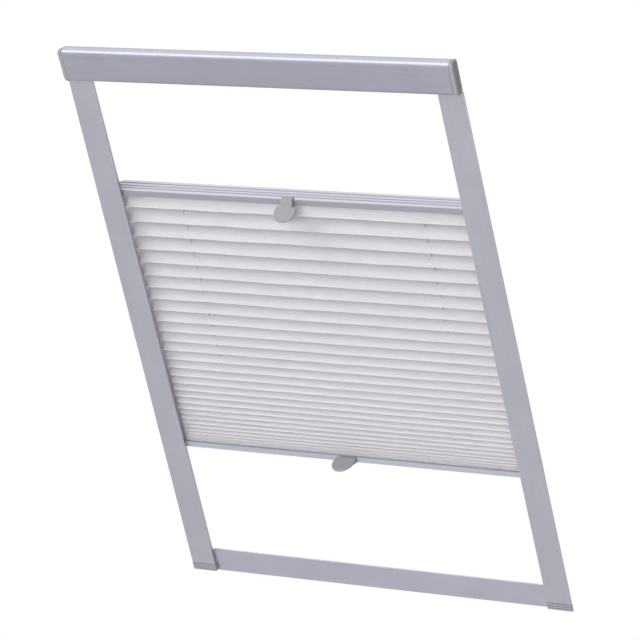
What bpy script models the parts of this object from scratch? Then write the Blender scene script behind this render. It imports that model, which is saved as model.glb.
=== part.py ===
"""Pleated blind for a roof window: frame, two sliding rails and a folded cloth between them.

Units are metres. X runs across the blind, Y from the room (-) to the glass (+) and Z up.
The origin is the centre of the bottom bar's back face, on the plane of the window sash.
Run it with: blender --background --python part.py
"""
import math

import bmesh
import bpy
from mathutils import Matrix, Vector

# Overall sizes
OVERALL_WIDTH = 0.3848
OVERALL_HEIGHT = 0.5150
GAP = 0.0003

# Window sash that the blind is screwed to
SASH_PLANE = 0.0
HEAD_OVERLAP = 0.0105
FOOT_OVERLAP = 0.0150

# Bottom bar
BAR_HEIGHT = 0.0220
BAR_THICKNESS = 0.0015
TONGUE_LENGTH = 0.0050
TONGUE_TOP_STEP = 0.0012

# Side rails
RAIL_FACE_WIDTH = 0.0238
RAIL_STAND = 0.0045
RAIL_WALL = 0.0013
RAIL_INNER_LIP_DEPTH = 0.0027
RAIL_INNER_LIP_WALL = 0.0012
RAIL_EDGE = 0.0004
STAND_RIB_SETBACK = 0.0038
STAND_RIB_WALL = 0.0012
WEB_WALL = 0.0012
WEB_SETBACK = 0.0103
WEB_DEPTH = 0.0152
GUIDE_RIB_REACH = 0.0010
GUIDE_RIB_THICKNESS = 0.0012
GUIDE_RIB_DEPTH = 0.0132
FIXING_HOLE_RADIUS = 0.0021
FIXING_HOLE_SHARES = (0.22, 0.50, 0.78)

# Foot caps
FOOT_HEIGHT = 0.0070
FOOT_PROUD = 0.0005
FOOT_BANDS = 3
FOOT_GROOVE = 0.0005
FOOT_GROOVE_DEPTH = 0.0006
FOOT_STEP = 0.0002
FOOT_EDGE = 0.0006
FOOT_CORNER_RADIUS = 0.0014
FOOT_TONGUE_THICKNESS = 0.0011
FOOT_POST_DEPTH = 0.0071
FOOT_POST_HEIGHT = 0.0075
FOOT_POST_WIDTH = 0.0068
FOOT_POST_CUT = (0.0019, 0.0024)

# Cassette along the top
CASSETTE_HEIGHT = 0.0281
CASSETTE_PROUD = 0.0110
CASSETTE_WALL = 0.0012
CASSETTE_TOP_RADIUS = 0.0045
CASSETTE_BOTTOM_RADIUS = 0.0040
CASSETTE_TOP_FALL = 0.0012
CASSETTE_CROWN_FLAT = 0.0002
CASSETTE_LIP = 0.0052
CASSETTE_TAIL_LIP = 0.0024
SNAP_RIB_DROP = 0.0085
SNAP_RIB_HEIGHT = 0.0012
SNAP_RIB_REACH = 0.0014
END_CAP_WIDTH = 0.0051
END_CAP_OVERHANG = 0.0009
END_CAP_FRONT_RADIUS = 0.0018
END_CAP_TOP_RADIUS = 0.0025
END_CAP_BOTTOM_RADIUS = 0.0045
END_CAP_SIDE_DEPTH = 0.0060
END_CAP_BACK_INSET = 0.0040
END_CAP_ROOT = 0.0010
END_CAP_SPIGOT = 0.0050
END_CAP_SPIGOT_WALL = 0.0014

# Brackets inside the cassette
BRACKET_PLATE = 0.0014
BRACKET_INNER_REACH = 0.0430
BRACKET_ARM_LENGTH = 0.0310
BRACKET_ARM = 0.0015
BRACKET_NOSE = 0.0010
BRACKET_MARGIN = 0.0050
HEAD_PLUG_WIDTH = 0.0118
HEAD_PLUG_RISE = 0.0010
HEAD_PLUG_HEIGHT = 0.0158
HEAD_PLUG_FLOOR = 0.0055
BRACKET_HOLE_RADIUS = 0.0021

# Moving rails
MOVING_SETBACK = 0.0034
MOVING_DEPTH = 0.0190
MOVING_HEIGHT = 0.0052
MOVING_WALL = 0.0010
MOVING_LIP = 0.0020
MOVING_LIP_WALL = 0.0009
MOVING_EDGE = 0.0005
UPPER_RAIL_TOP = 0.3683
LOWER_RAIL_TOP = 0.1212
UPPER_RAIL_END_GAP = 0.0023
LOWER_RAIL_END_GAP = 0.0142
GROOVE_WIDTH = 0.0009
GROOVE_DEPTH = 0.0005
GROOVE_SHARES = (0.26, 0.51, 0.73)

# Glides at the ends of the moving rails
GLIDE_CLEARANCE = 0.0006
GLIDE_HEAD_WIDTH = 0.0014
GLIDE_HEAD_DEPTH = 0.0171
GLIDE_EXTRA_HEIGHT = 0.0040
GLIDE_EXTRA_DEPTH = 0.0120
GLIDE_PRONG_LENGTH = 0.0100
GLIDE_FRONT_PRONG_WIDTH = 0.0023
GLIDE_BACK_PRONG_WIDTH = 0.0060
GLIDE_EDGE = 0.0005

# Handles
STRAP_WIDTH = 0.0110
STRAP_HOOK = 0.0025
STRAP_THICKNESS = 0.0010
STRAP_BEND = 0.0008
UPPER_HANDLE_X = -0.0015
LOWER_HANDLE_X = -0.0008
HANDLE_PLATE_WIDTH = 0.0208
HANDLE_PLATE_NECK_WIDTH = 0.0194
UPPER_PLATE_LENGTH = 0.0143
LOWER_PLATE_LENGTH = 0.0168
HANDLE_PLATE_THICKNESS = 0.0020
HANDLE_EDGE = 0.0005
HANDLE_SHOULDER_SHARE = 0.28
HANDLE_SHOULDER_WIDTH_SHARE = 0.985
HANDLE_ARC_STEPS = 16
UPPER_HANDLE_TILT = math.radians(31.0)
LOWER_HANDLE_TILT = math.radians(11.0)
UPPER_STRAP_DROP = 0.0060
UPPER_STRAP_REACH = 0.0045
LOWER_STRAP_RISE = 0.0014
LOWER_STRAP_REACH = 0.0046
LOWER_CLIP_WIDTH = 0.0150
LOWER_CLIP_THICKNESS = 0.0008

# Pleated cloth
PLEAT_COUNT = 30
CLOTH_THICKNESS = 0.0003
PLEAT_PANEL = 0.0150
FIRST_FOLD_DROP = 0.0117
LAST_FOLD_RISE = 0.0014
PITCH_LOSS_SHARE = 0.0311
CLOTH_END_GAP = 0.0013
CLOTH_MOUTH_GAP = 0.0006
CORD_SLOT = (0.0022, 0.0040)
STRIP_WIDTH = 0.0144
STRIP_THICKNESS = 0.0008
STRIP_END_INSET = 0.0020

# Cords, springs and anchors
CORD_DIAMETER = 0.0009
CORD_PLANE_STEP = 0.0012
CORD_FROM_WEB = 0.0040
CORD_FROM_FLANGE = 0.0078
CORD_HOLE_FROM_MIDDLE = 0.1180
CORD_HOLE_SETBACK = 0.0026
CORD_RUN_HEIGHT = 0.0032
CORD_BEND = 0.0020
CORD_BEND_POINTS = 4
CORD_PASSAGE = 0.0026
SPRING_RADIUS = 0.0021
SPRING_WIRE = 0.0007
SPRING_TURNS = 4
SPRING_POINTS = 9
POCKET_RADIUS = 0.0029
BEAD_RADIUS = 0.0026
BEAD_HEIGHT = 0.0032
BEAD_BORE_RADIUS = 0.0008
BEAD_BORE_DEPTH = 0.0022
FOOT_ANCHOR_RADIUS = 0.0013
FOOT_ANCHOR_HEIGHT = 0.0060
FOOT_ANCHOR_BORE_DEPTH = 0.0045

# Head screws
SCREW_SHANK_RADIUS = 0.0010
SCREW_HEAD_RADIUS = 0.0019
SCREW_HEAD_HEIGHT = 0.0015
SCREW_FROM_BACK = 0.0037
SCREW_RISE = 0.0027
SCREW_SIDES = 12

# Places worked out from the sizes above
CAP_END_X = OVERALL_WIDTH / 2
HALF_WIDTH = CAP_END_X - END_CAP_OVERHANG
BOTTOM = -BAR_HEIGHT / 2
TOP = BOTTOM + OVERALL_HEIGHT
SASH_OPENING_BOTTOM = BOTTOM + FOOT_OVERLAP
SASH_OPENING_TOP = TOP - HEAD_OVERLAP
RAIL_BOTTOM = BOTTOM + FOOT_HEIGHT
CASSETTE_BOTTOM = TOP - CASSETTE_HEIGHT
RAIL_FRONT = SASH_PLANE - RAIL_STAND
RAIL_INNER_X = HALF_WIDTH - RAIL_FACE_WIDTH
MOVING_FRONT = RAIL_FRONT + MOVING_SETBACK
MOVING_BACK = MOVING_FRONT + MOVING_DEPTH
CLOTH_MIDDLE = (MOVING_FRONT + MOVING_BACK) / 2
CORD_HOLE_MIDDLE = CLOTH_MIDDLE + CORD_HOLE_SETBACK
CHANNEL_FRONT = RAIL_FRONT + RAIL_WALL
WEB_BACK = CHANNEL_FRONT + WEB_DEPTH
STAND_RIB_X = HALF_WIDTH - STAND_RIB_SETBACK
WEB_OUTER_X = HALF_WIDTH - WEB_SETBACK
WEB_INNER_X = WEB_OUTER_X - WEB_WALL
GUIDE_RIB_Y = (CHANNEL_FRONT + GUIDE_RIB_DEPTH, CHANNEL_FRONT + GUIDE_RIB_DEPTH + GUIDE_RIB_THICKNESS)
GUIDE_RIB_X = WEB_INNER_X - GUIDE_RIB_REACH
HEAD_PLUG_BOTTOM = CASSETTE_BOTTOM + HEAD_PLUG_RISE
PLUG_X = (WEB_INNER_X - GAP - HEAD_PLUG_WIDTH, WEB_INNER_X - GAP)
PLUG_BACK = WEB_BACK - GAP
CORD_X = WEB_INNER_X - CORD_FROM_WEB
SCREW_Y = PLUG_BACK - SCREW_FROM_BACK
FOOT_TOP = RAIL_BOTTOM - GAP
FOOT_POST_BOTTOM = SASH_OPENING_BOTTOM + 2 * GAP
FOOT_POST_TOP = FOOT_POST_BOTTOM + FOOT_POST_HEIGHT
CASSETTE_FRONT = SASH_PLANE - CASSETTE_PROUD
COVER_END_X = CAP_END_X - END_CAP_WIDTH
UPPER_RAIL_BOTTOM = UPPER_RAIL_TOP - MOVING_HEIGHT
LOWER_RAIL_BOTTOM = LOWER_RAIL_TOP - MOVING_HEIGHT
UPPER_RAIL_END = WEB_INNER_X - UPPER_RAIL_END_GAP
LOWER_RAIL_END = WEB_INNER_X - LOWER_RAIL_END_GAP
STRIP_END_X = LOWER_RAIL_END - GLIDE_PRONG_LENGTH - STRIP_END_INSET
ARC_STEPS = 4

MATERIALS = {
    "anodised_aluminium": ((0.42, 0.42, 0.48), 0.42, 0.9),
    "light_aluminium": ((0.66, 0.67, 0.76), 0.38, 0.9),
    "grey_plastic": ((0.33, 0.33, 0.36), 0.5, 0.0),
    "dark_plastic": ((0.24, 0.23, 0.25), 0.5, 0.0),
    "white_plastic": ((0.75, 0.75, 0.75), 0.5, 0.0),
    "pleated_cloth": ((0.70, 0.67, 0.69), 0.85, 0.0),
    "cord": ((0.78, 0.77, 0.76), 0.8, 0.0),
    "spring_steel": ((0.55, 0.56, 0.58), 0.3, 1.0),
    "screw_steel": ((0.60, 0.60, 0.62), 0.35, 1.0),
}


def clear_scene():
    """Removes every object that the file starts with."""
    for item in list(bpy.data.objects):
        bpy.data.objects.remove(item, do_unlink=True)


def material(name):
    """Returns one of the blind's materials, made the first time it is asked for."""
    if name in bpy.data.materials:
        return bpy.data.materials[name]
    colour, roughness, metallic = MATERIALS[name]
    made = bpy.data.materials.new(name)
    made.use_nodes = True
    shader = made.node_tree.nodes["Principled BSDF"]
    shader.inputs["Base Color"].default_value = (*colour, 1.0)
    shader.inputs["Roughness"].default_value = roughness
    shader.inputs["Metallic"].default_value = metallic
    return made


def link_mesh(name, bm, finish):
    """Turns a bmesh into a named object with one material."""
    bmesh.ops.recalc_face_normals(bm, faces=bm.faces)
    mesh = bpy.data.meshes.new(name)
    bm.to_mesh(mesh)
    bm.free()
    item = bpy.data.objects.new(name, mesh)
    item.data.materials.append(material(finish))
    bpy.context.collection.objects.link(item)
    return item


def rounded(corners, steps=ARC_STEPS):
    """Outline through corners (u, v, radius), each turned into an arc of that radius."""
    outline = []
    count = len(corners)
    for index, (u, v, radius) in enumerate(corners):
        corner = Vector((u, v))
        if radius <= 0:
            outline.append((u, v))
            continue
        before = (Vector(corners[index - 1][:2]) - corner).normalized()
        after = (Vector(corners[(index + 1) % count][:2]) - corner).normalized()
        half_angle = before.angle(after) / 2
        reach = radius / math.tan(half_angle)
        centre = corner + (before + after).normalized() * radius / math.sin(half_angle)
        start = corner + before * reach - centre
        end = corner + after * reach - centre
        sweep = start.angle_signed(end)
        for step in range(steps + 1):
            turned = Matrix.Rotation(-sweep * step / steps, 2) @ start
            outline.append(tuple(centre + turned))
    return outline


def prism_mesh(outline, low, high, axis):
    """Closed prism in a bmesh: a 2-D outline extruded along axis 0, 1 or 2."""
    bm = bmesh.new()
    verts = []
    for u, v in outline:
        place = [u, v]
        place.insert(axis, low)
        verts.append(bm.verts.new(place))
    bm.faces.new(verts)
    swept = bmesh.ops.extrude_face_region(bm, geom=bm.faces[:])
    shift = [0.0, 0.0, 0.0]
    shift[axis] = high - low
    moved = [part for part in swept["geom"] if isinstance(part, bmesh.types.BMVert)]
    bmesh.ops.translate(bm, verts=moved, vec=shift)
    return bm


def prism(name, outline, low, high, axis, finish):
    """Closed prism as an object."""
    return link_mesh(name, prism_mesh(outline, low, high, axis), finish)


def block(name, x, y, z, finish="grey_plastic"):
    """Rectangular block between pairs of limits."""
    outline = [(x[0], y[0]), (x[1], y[0]), (x[1], y[1]), (x[0], y[1])]
    return prism(name, outline, z[0], z[1], 2, finish)


def rod(name, centre, radius, low, high, axis, finish="grey_plastic", sides=16):
    """Round rod along an axis, between two limits."""
    outline = [(centre[0] + radius * math.cos(math.tau * step / sides),
                centre[1] + radius * math.sin(math.tau * step / sides)) for step in range(sides)]
    return prism(name, outline, low, high, axis, finish)


def combine(target, tool, operation):
    """Joins, cuts or intersects the target with a second solid, which is used up."""
    boolean = target.modifiers.new(operation.lower(), "BOOLEAN")
    boolean.operation = operation
    boolean.solver = "EXACT"
    boolean.object = tool
    evaluated = target.evaluated_get(bpy.context.evaluated_depsgraph_get())
    result = bpy.data.meshes.new_from_object(evaluated)
    target.modifiers.clear()
    target.data = result
    bpy.data.objects.remove(tool, do_unlink=True)
    return target


def join(target, tool):
    """Joins the tool to the target."""
    return combine(target, tool, "UNION")


def cut(target, tool):
    """Cuts the tool out of the target."""
    return combine(target, tool, "DIFFERENCE")


def soften(target, width, chosen, segments=2):
    """Rounds the edges for which chosen(edge) is true."""
    bm = bmesh.new()
    bm.from_mesh(target.data)
    edges = [edge for edge in bm.edges if edge.calc_face_angle(0) > math.radians(30) and chosen(edge)]
    bmesh.ops.bevel(bm, geom=edges, offset=width, segments=segments, profile=0.5,
                    affect="EDGES", material=-1, clamp_overlap=True)
    bm.to_mesh(target.data)
    bm.free()
    return target


def shade_round(target, angle=30):
    """Smooth shading, with edges sharper than the angle kept sharp."""
    target.data.shade_smooth()
    target.data.set_sharp_from_angle(angle=math.radians(angle))
    return target


def seat(target, origin, parent=None):
    """Gives the solid its own origin, and hangs it on a parent empty where it has one."""
    origin = Vector(origin)
    target.data.transform(Matrix.Translation(-origin))
    target.parent = parent
    target.location = origin - parent.location if parent else origin
    return target


def to_side(item, side):
    """Turns a piece modelled on the right into its mirror image where side is -1."""
    if side < 0:
        item.data.transform(Matrix.Scale(-1, 4, (1, 0, 0)))
        item.data.flip_normals()
        item.location.x = -item.location.x
    return item


def slide_empty(name, place):
    """Empty that a sliding rail hangs on."""
    empty = bpy.data.objects.new(name, None)
    empty.empty_display_size = 0.02
    empty.location = place
    bpy.context.collection.objects.link(empty)
    return empty


def tube(name, points, diameter, finish, resolution, parent=None):
    """Round cord or wire along a list of points."""
    curve = bpy.data.curves.new(name, "CURVE")
    curve.dimensions = "3D"
    curve.bevel_depth = diameter / 2
    curve.bevel_resolution = resolution
    curve.use_fill_caps = True
    spline = curve.splines.new("POLY")
    spline.points.add(len(points) - 1)
    for point, place in zip(spline.points, points):
        point.co = (*place, 1.0)
    item = bpy.data.objects.new(name, curve)
    curve.materials.append(material(finish))
    bpy.context.collection.objects.link(item)
    item.parent = parent
    return item


def side_rail(name, side):
    """Extruded rail: a wide front flange on a stand rib, and a web with a rib that guides the glides."""
    lip_back = RAIL_FRONT + RAIL_INNER_LIP_DEPTH
    lip_x = RAIL_INNER_X + RAIL_INNER_LIP_WALL
    stand_inner_x = STAND_RIB_X - STAND_RIB_WALL
    outline = rounded([
        (RAIL_INNER_X, RAIL_FRONT, RAIL_EDGE),
        (HALF_WIDTH, RAIL_FRONT, RAIL_EDGE),
        (HALF_WIDTH, CHANNEL_FRONT, 0),
        (STAND_RIB_X, CHANNEL_FRONT, 0),
        (STAND_RIB_X, SASH_PLANE, 0),
        (stand_inner_x, SASH_PLANE, 0),
        (stand_inner_x, CHANNEL_FRONT, 0),
        (WEB_OUTER_X, CHANNEL_FRONT, 0),
        (WEB_OUTER_X, WEB_BACK, 0),
        (WEB_INNER_X, WEB_BACK, 0),
        (WEB_INNER_X, GUIDE_RIB_Y[1], 0),
        (GUIDE_RIB_X, GUIDE_RIB_Y[1], 0),
        (GUIDE_RIB_X, GUIDE_RIB_Y[0], 0),
        (WEB_INNER_X, GUIDE_RIB_Y[0], 0),
        (WEB_INNER_X, CHANNEL_FRONT, 0),
        (lip_x, CHANNEL_FRONT, 0),
        (lip_x, lip_back, 0),
        (RAIL_INNER_X, lip_back, 0),
    ], steps=2)
    rail_top = SASH_OPENING_TOP - GAP
    rail = prism(name, outline, RAIL_BOTTOM, rail_top, 2, "anodised_aluminium")
    margin = 2 * RAIL_WALL
    cut(rail, block("head_cope", (RAIL_INNER_X - margin, HALF_WIDTH + margin),
                    (RAIL_FRONT - margin, SASH_PLANE + GAP),
                    (CASSETTE_BOTTOM - GAP, rail_top + margin)))
    cut(rail, block("foot_cope", (GUIDE_RIB_X - margin, WEB_OUTER_X + margin),
                    (SASH_PLANE - GAP, WEB_BACK + margin),
                    (RAIL_BOTTOM - margin, SASH_OPENING_BOTTOM + GAP)))
    through = (WEB_INNER_X - margin, WEB_OUTER_X + margin)
    hole_y = (CHANNEL_FRONT + GUIDE_RIB_Y[0]) / 2
    for share in FIXING_HOLE_SHARES:
        height = RAIL_BOTTOM + share * (CASSETTE_BOTTOM - RAIL_BOTTOM)
        cut(rail, rod("fixing_hole", (hole_y, height), FIXING_HOLE_RADIUS, *through, 0, sides=12))
    cut(rail, rod("screw_hole", (SCREW_Y, head_screw_height()), SCREW_SHANK_RADIUS + GAP, *through, 0,
                  sides=SCREW_SIDES))
    seat(rail, (HALF_WIDTH - RAIL_FACE_WIDTH / 2, RAIL_FRONT, RAIL_BOTTOM))
    to_side(rail, side)


def head_screw_height():
    """Height of the screw through a bracket's plug, in the floor below the spring."""
    return HEAD_PLUG_BOTTOM + SCREW_RISE


def screw_passage(plug):
    """Clearance hole and head recess through a bracket's plug, along X."""
    recess_end = PLUG_X[0] + SCREW_HEAD_HEIGHT + 2 * GAP
    before = PLUG_X[0] - SCREW_HEAD_HEIGHT
    centre = (SCREW_Y, head_screw_height())
    cut(plug, rod("head_recess", centre, SCREW_HEAD_RADIUS + GAP, before, recess_end, 0,
                  sides=SCREW_SIDES))
    cut(plug, rod("shank_hole", centre, SCREW_SHANK_RADIUS + GAP, before, WEB_OUTER_X, 0,
                  sides=SCREW_SIDES))


def rail_foot(name, side, cord_plane):
    """Moulded cap below a side rail, with the plug that holds the bar and the cord's end."""
    inner_x = RAIL_INNER_X - GAP
    band = (FOOT_TOP - BOTTOM - (FOOT_BANDS - 1) * FOOT_GROOVE) / FOOT_BANDS
    profile = []
    for index in range(FOOT_BANDS):
        face = RAIL_FRONT - FOOT_PROUD + index * FOOT_STEP
        band_top = FOOT_TOP - index * (band + FOOT_GROOVE)
        band_base = band_top - band
        profile.append((face, band_top, 0))
        if index < FOOT_BANDS - 1:
            profile.append((face, band_base, 0))
            profile.append((face + FOOT_GROOVE_DEPTH, band_base, 0))
            profile.append((face + FOOT_GROOVE_DEPTH, band_base - FOOT_GROOVE, 0))
        else:
            profile.append((face, BOTTOM, band / 2))
    profile += [(SASH_PLANE, BOTTOM, 0), (SASH_PLANE, FOOT_TOP, 0)]
    foot = prism(name, rounded(profile, steps=3), inner_x, HALF_WIDTH, 0, "dark_plastic")
    groove_face = RAIL_FRONT - FOOT_PROUD + FOOT_GROOVE_DEPTH

    def end_edge(edge):
        ends = [vert.co for vert in edge.verts]
        return abs(ends[0].x - ends[1].x) < GAP and max(end.y for end in ends) < groove_face - GAP and \
            abs(ends[0].z - ends[1].z) > band / 3
    soften(foot, FOOT_EDGE, end_edge)
    front_shape = rounded([
        (inner_x, BOTTOM, FOOT_CORNER_RADIUS),
        (HALF_WIDTH, BOTTOM, FOOT_CORNER_RADIUS),
        (HALF_WIDTH, FOOT_TOP, 0),
        (inner_x, FOOT_TOP, 0),
    ], steps=3)
    combine(foot, prism("front_shape", front_shape, RAIL_FRONT - FOOT_HEIGHT, SASH_PLANE + FOOT_HEIGHT, 1,
                        "dark_plastic"), "INTERSECT")
    cut(foot, block("side_step", (STAND_RIB_X, HALF_WIDTH + FOOT_HEIGHT),
                    (CHANNEL_FRONT, SASH_PLANE + FOOT_HEIGHT), (BOTTOM - FOOT_HEIGHT, RAIL_BOTTOM)))
    tongue_y = (CHANNEL_FRONT + GAP, CHANNEL_FRONT + GAP + FOOT_TONGUE_THICKNESS)
    tongue_x = (RAIL_INNER_X + RAIL_INNER_LIP_WALL + GAP, PLUG_X[1])
    join(foot, block("tongue", tongue_x, tongue_y, (FOOT_TOP - band, FOOT_POST_TOP)))
    post_x = (PLUG_X[1] - FOOT_POST_WIDTH, PLUG_X[1])
    tip_x = bar_tongue_end() + GAP
    join(foot, block("post_neck", (tip_x, PLUG_X[1]), (tongue_y[0], SASH_PLANE + 2 * GAP),
                     (FOOT_POST_BOTTOM, FOOT_POST_TOP)))
    post_y = (SASH_PLANE + GAP, SASH_PLANE + FOOT_POST_DEPTH)
    post_plan = [(post_x[0], post_y[0]), (post_x[1], post_y[0]), (post_x[1], post_y[1]),
                 (post_x[0] + FOOT_POST_CUT[0], post_y[1]), (post_x[0], post_y[1] - FOOT_POST_CUT[1])]
    join(foot, prism("post", post_plan, FOOT_POST_BOTTOM, FOOT_POST_TOP, 2, "dark_plastic"))
    pocket_floor = FOOT_POST_TOP - FOOT_ANCHOR_HEIGHT - GAP
    cut(foot, rod("anchor_pocket", (CORD_X, cord_plane), FOOT_ANCHOR_RADIUS + GAP,
                  pocket_floor, FOOT_POST_TOP + FOOT_HEIGHT, 2, sides=12))
    seat(foot, (HALF_WIDTH - RAIL_FACE_WIDTH / 2, RAIL_FRONT, FOOT_TOP))
    to_side(foot, side)


def bar_tongue_end():
    """Where the bottom bar's tongue ends inside the side rail."""
    return RAIL_INNER_X - 2 * GAP + TONGUE_LENGTH


def bottom_bar():
    """Flat bar across the foot, with a tongue at each end that lies in the rail's channel."""
    bar_end = RAIL_INNER_X - 2 * GAP
    tongue_end = bar_tongue_end()
    tongue_bottom = RAIL_BOTTOM + GAP
    tongue_top = BAR_HEIGHT / 2 - TONGUE_TOP_STEP
    right_half = [(bar_end, BOTTOM), (bar_end, tongue_bottom), (tongue_end, tongue_bottom),
                  (tongue_end, tongue_top), (bar_end, tongue_top), (bar_end, BAR_HEIGHT / 2)]
    left_half = [(-x, z) for x, z in reversed(right_half)]
    bar = prism("bottom_bar", right_half + left_half, SASH_PLANE - BAR_THICKNESS, SASH_PLANE, 1,
                "anodised_aluminium")
    front = SASH_PLANE - BAR_THICKNESS

    def long_front_edge(edge):
        ends = [vert.co for vert in edge.verts]
        return all(abs(end.y - front) < 1e-6 for end in ends) and abs(ends[0].x - ends[1].x) > bar_end
    soften(bar, BAR_THICKNESS / 3, long_front_edge)
    seat(bar, (0, 0, 0))


def cassette_outline(inset=0.0, tail=0.0):
    """Closed side outline of the cassette, shrunk by inset, with its back edge held off by tail."""
    front = CASSETTE_FRONT + inset
    back = SASH_PLANE - tail
    top_radius = max(CASSETTE_TOP_RADIUS - inset, CASSETTE_WALL / 2)
    bottom_radius = max(CASSETTE_BOTTOM_RADIUS - inset, CASSETTE_WALL / 2)
    return [
        (back, TOP - CASSETTE_TOP_FALL - inset, 0),
        (front + top_radius + CASSETTE_CROWN_FLAT, TOP - inset, 0),
        (front, TOP - inset, top_radius),
        (front, CASSETTE_BOTTOM + inset, bottom_radius),
        (back, CASSETTE_BOTTOM + inset, 0),
    ]


def cassette_cover():
    """Extruded cover: rounded front top, lip along the foot, snap rib and turned tail inside."""
    inner_front = CASSETTE_FRONT + CASSETTE_WALL
    lip_back = CASSETTE_FRONT + CASSETTE_LIP
    tail_y = SASH_PLANE - GAP
    tail_top = TOP - CASSETTE_TOP_FALL
    rib_top = TOP - SNAP_RIB_DROP
    rib_bottom = rib_top - SNAP_RIB_HEIGHT
    rib_tip = inner_front + SNAP_RIB_REACH
    crown_y = CASSETTE_FRONT + CASSETTE_TOP_RADIUS + CASSETTE_CROWN_FLAT
    outline = rounded([
        (tail_y, tail_top, 0),
        (crown_y, TOP, 0),
        (CASSETTE_FRONT, TOP, CASSETTE_TOP_RADIUS),
        (CASSETTE_FRONT, CASSETTE_BOTTOM, CASSETTE_BOTTOM_RADIUS),
        (lip_back, CASSETTE_BOTTOM, 0),
        (lip_back, CASSETTE_BOTTOM + CASSETTE_WALL, 0),
        (inner_front, CASSETTE_BOTTOM + CASSETTE_WALL, CASSETTE_BOTTOM_RADIUS - CASSETTE_WALL),
        (inner_front, rib_bottom, 0),
        (rib_tip, rib_bottom, 0),
        (rib_tip, rib_top, 0),
        (inner_front, rib_top, 0),
        (inner_front, TOP - CASSETTE_WALL, CASSETTE_TOP_RADIUS - CASSETTE_WALL),
        (crown_y, TOP - CASSETTE_WALL, 0),
        (tail_y - CASSETTE_WALL, tail_top - CASSETTE_WALL, 0),
        (tail_y - CASSETTE_WALL, tail_top - CASSETTE_TAIL_LIP, 0),
        (tail_y, tail_top - CASSETTE_TAIL_LIP, 0),
    ], steps=5)
    end = COVER_END_X - GAP
    cover = prism("cassette_cover", outline, -end, end, 0, "anodised_aluminium")
    seat(cover, (0, CASSETTE_FRONT, CASSETTE_BOTTOM))
    shade_round(cover)


def cassette_end_cap(name, side):
    """Moulded cap that closes an end of the cassette, with a walled spigot inside the cover.

    Its body is the shape common to three outlines: from the side, from above and from the front.
    """
    cap = prism(name, rounded(cassette_outline(), steps=5), COVER_END_X, CAP_END_X, 0, "grey_plastic")
    from_above = rounded([
        (COVER_END_X, CASSETTE_FRONT, 0),
        (CAP_END_X, CASSETTE_FRONT, END_CAP_FRONT_RADIUS),
        (CAP_END_X, CASSETTE_FRONT + END_CAP_SIDE_DEPTH, 0),
        (CAP_END_X - END_CAP_BACK_INSET, SASH_PLANE, 0),
        (COVER_END_X, SASH_PLANE, 0),
    ])
    from_front = rounded([
        (COVER_END_X, CASSETTE_BOTTOM, 0),
        (CAP_END_X, CASSETTE_BOTTOM, END_CAP_BOTTOM_RADIUS),
        (CAP_END_X, TOP, END_CAP_TOP_RADIUS),
        (COVER_END_X, TOP, 0),
    ])
    margin = END_CAP_WIDTH
    combine(cap, prism("from_above", from_above, CASSETTE_BOTTOM - margin, TOP + margin, 2,
                       "grey_plastic"), "INTERSECT")
    combine(cap, prism("from_front", from_front, CASSETTE_FRONT - margin, SASH_PLANE + margin, 1,
                       "grey_plastic"), "INTERSECT")
    inset = CASSETTE_WALL + GAP
    tail = CASSETTE_WALL + 2 * GAP
    spigot = prism("spigot", rounded(cassette_outline(inset, tail), steps=3),
                   COVER_END_X - END_CAP_SPIGOT, COVER_END_X + END_CAP_ROOT, 0, "grey_plastic")
    hollow = prism("spigot_hollow", rounded(cassette_outline(inset + END_CAP_SPIGOT_WALL,
                                                             tail + END_CAP_SPIGOT_WALL), steps=2),
                   COVER_END_X - 2 * END_CAP_SPIGOT, COVER_END_X, 0, "grey_plastic")
    cut(spigot, hollow)
    rib_top = TOP - SNAP_RIB_DROP + GAP
    rib_bottom = TOP - SNAP_RIB_DROP - SNAP_RIB_HEIGHT - GAP
    rib_tip = CASSETTE_FRONT + CASSETTE_WALL + SNAP_RIB_REACH + GAP
    cut(spigot, block("rib_notch", (COVER_END_X - 2 * END_CAP_SPIGOT, COVER_END_X),
                      (CASSETTE_FRONT, rib_tip), (rib_bottom, rib_top)))
    join(cap, spigot)
    seat(cap, (COVER_END_X, CASSETTE_FRONT, CASSETTE_BOTTOM))
    shade_round(cap)
    to_side(cap, side)


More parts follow.
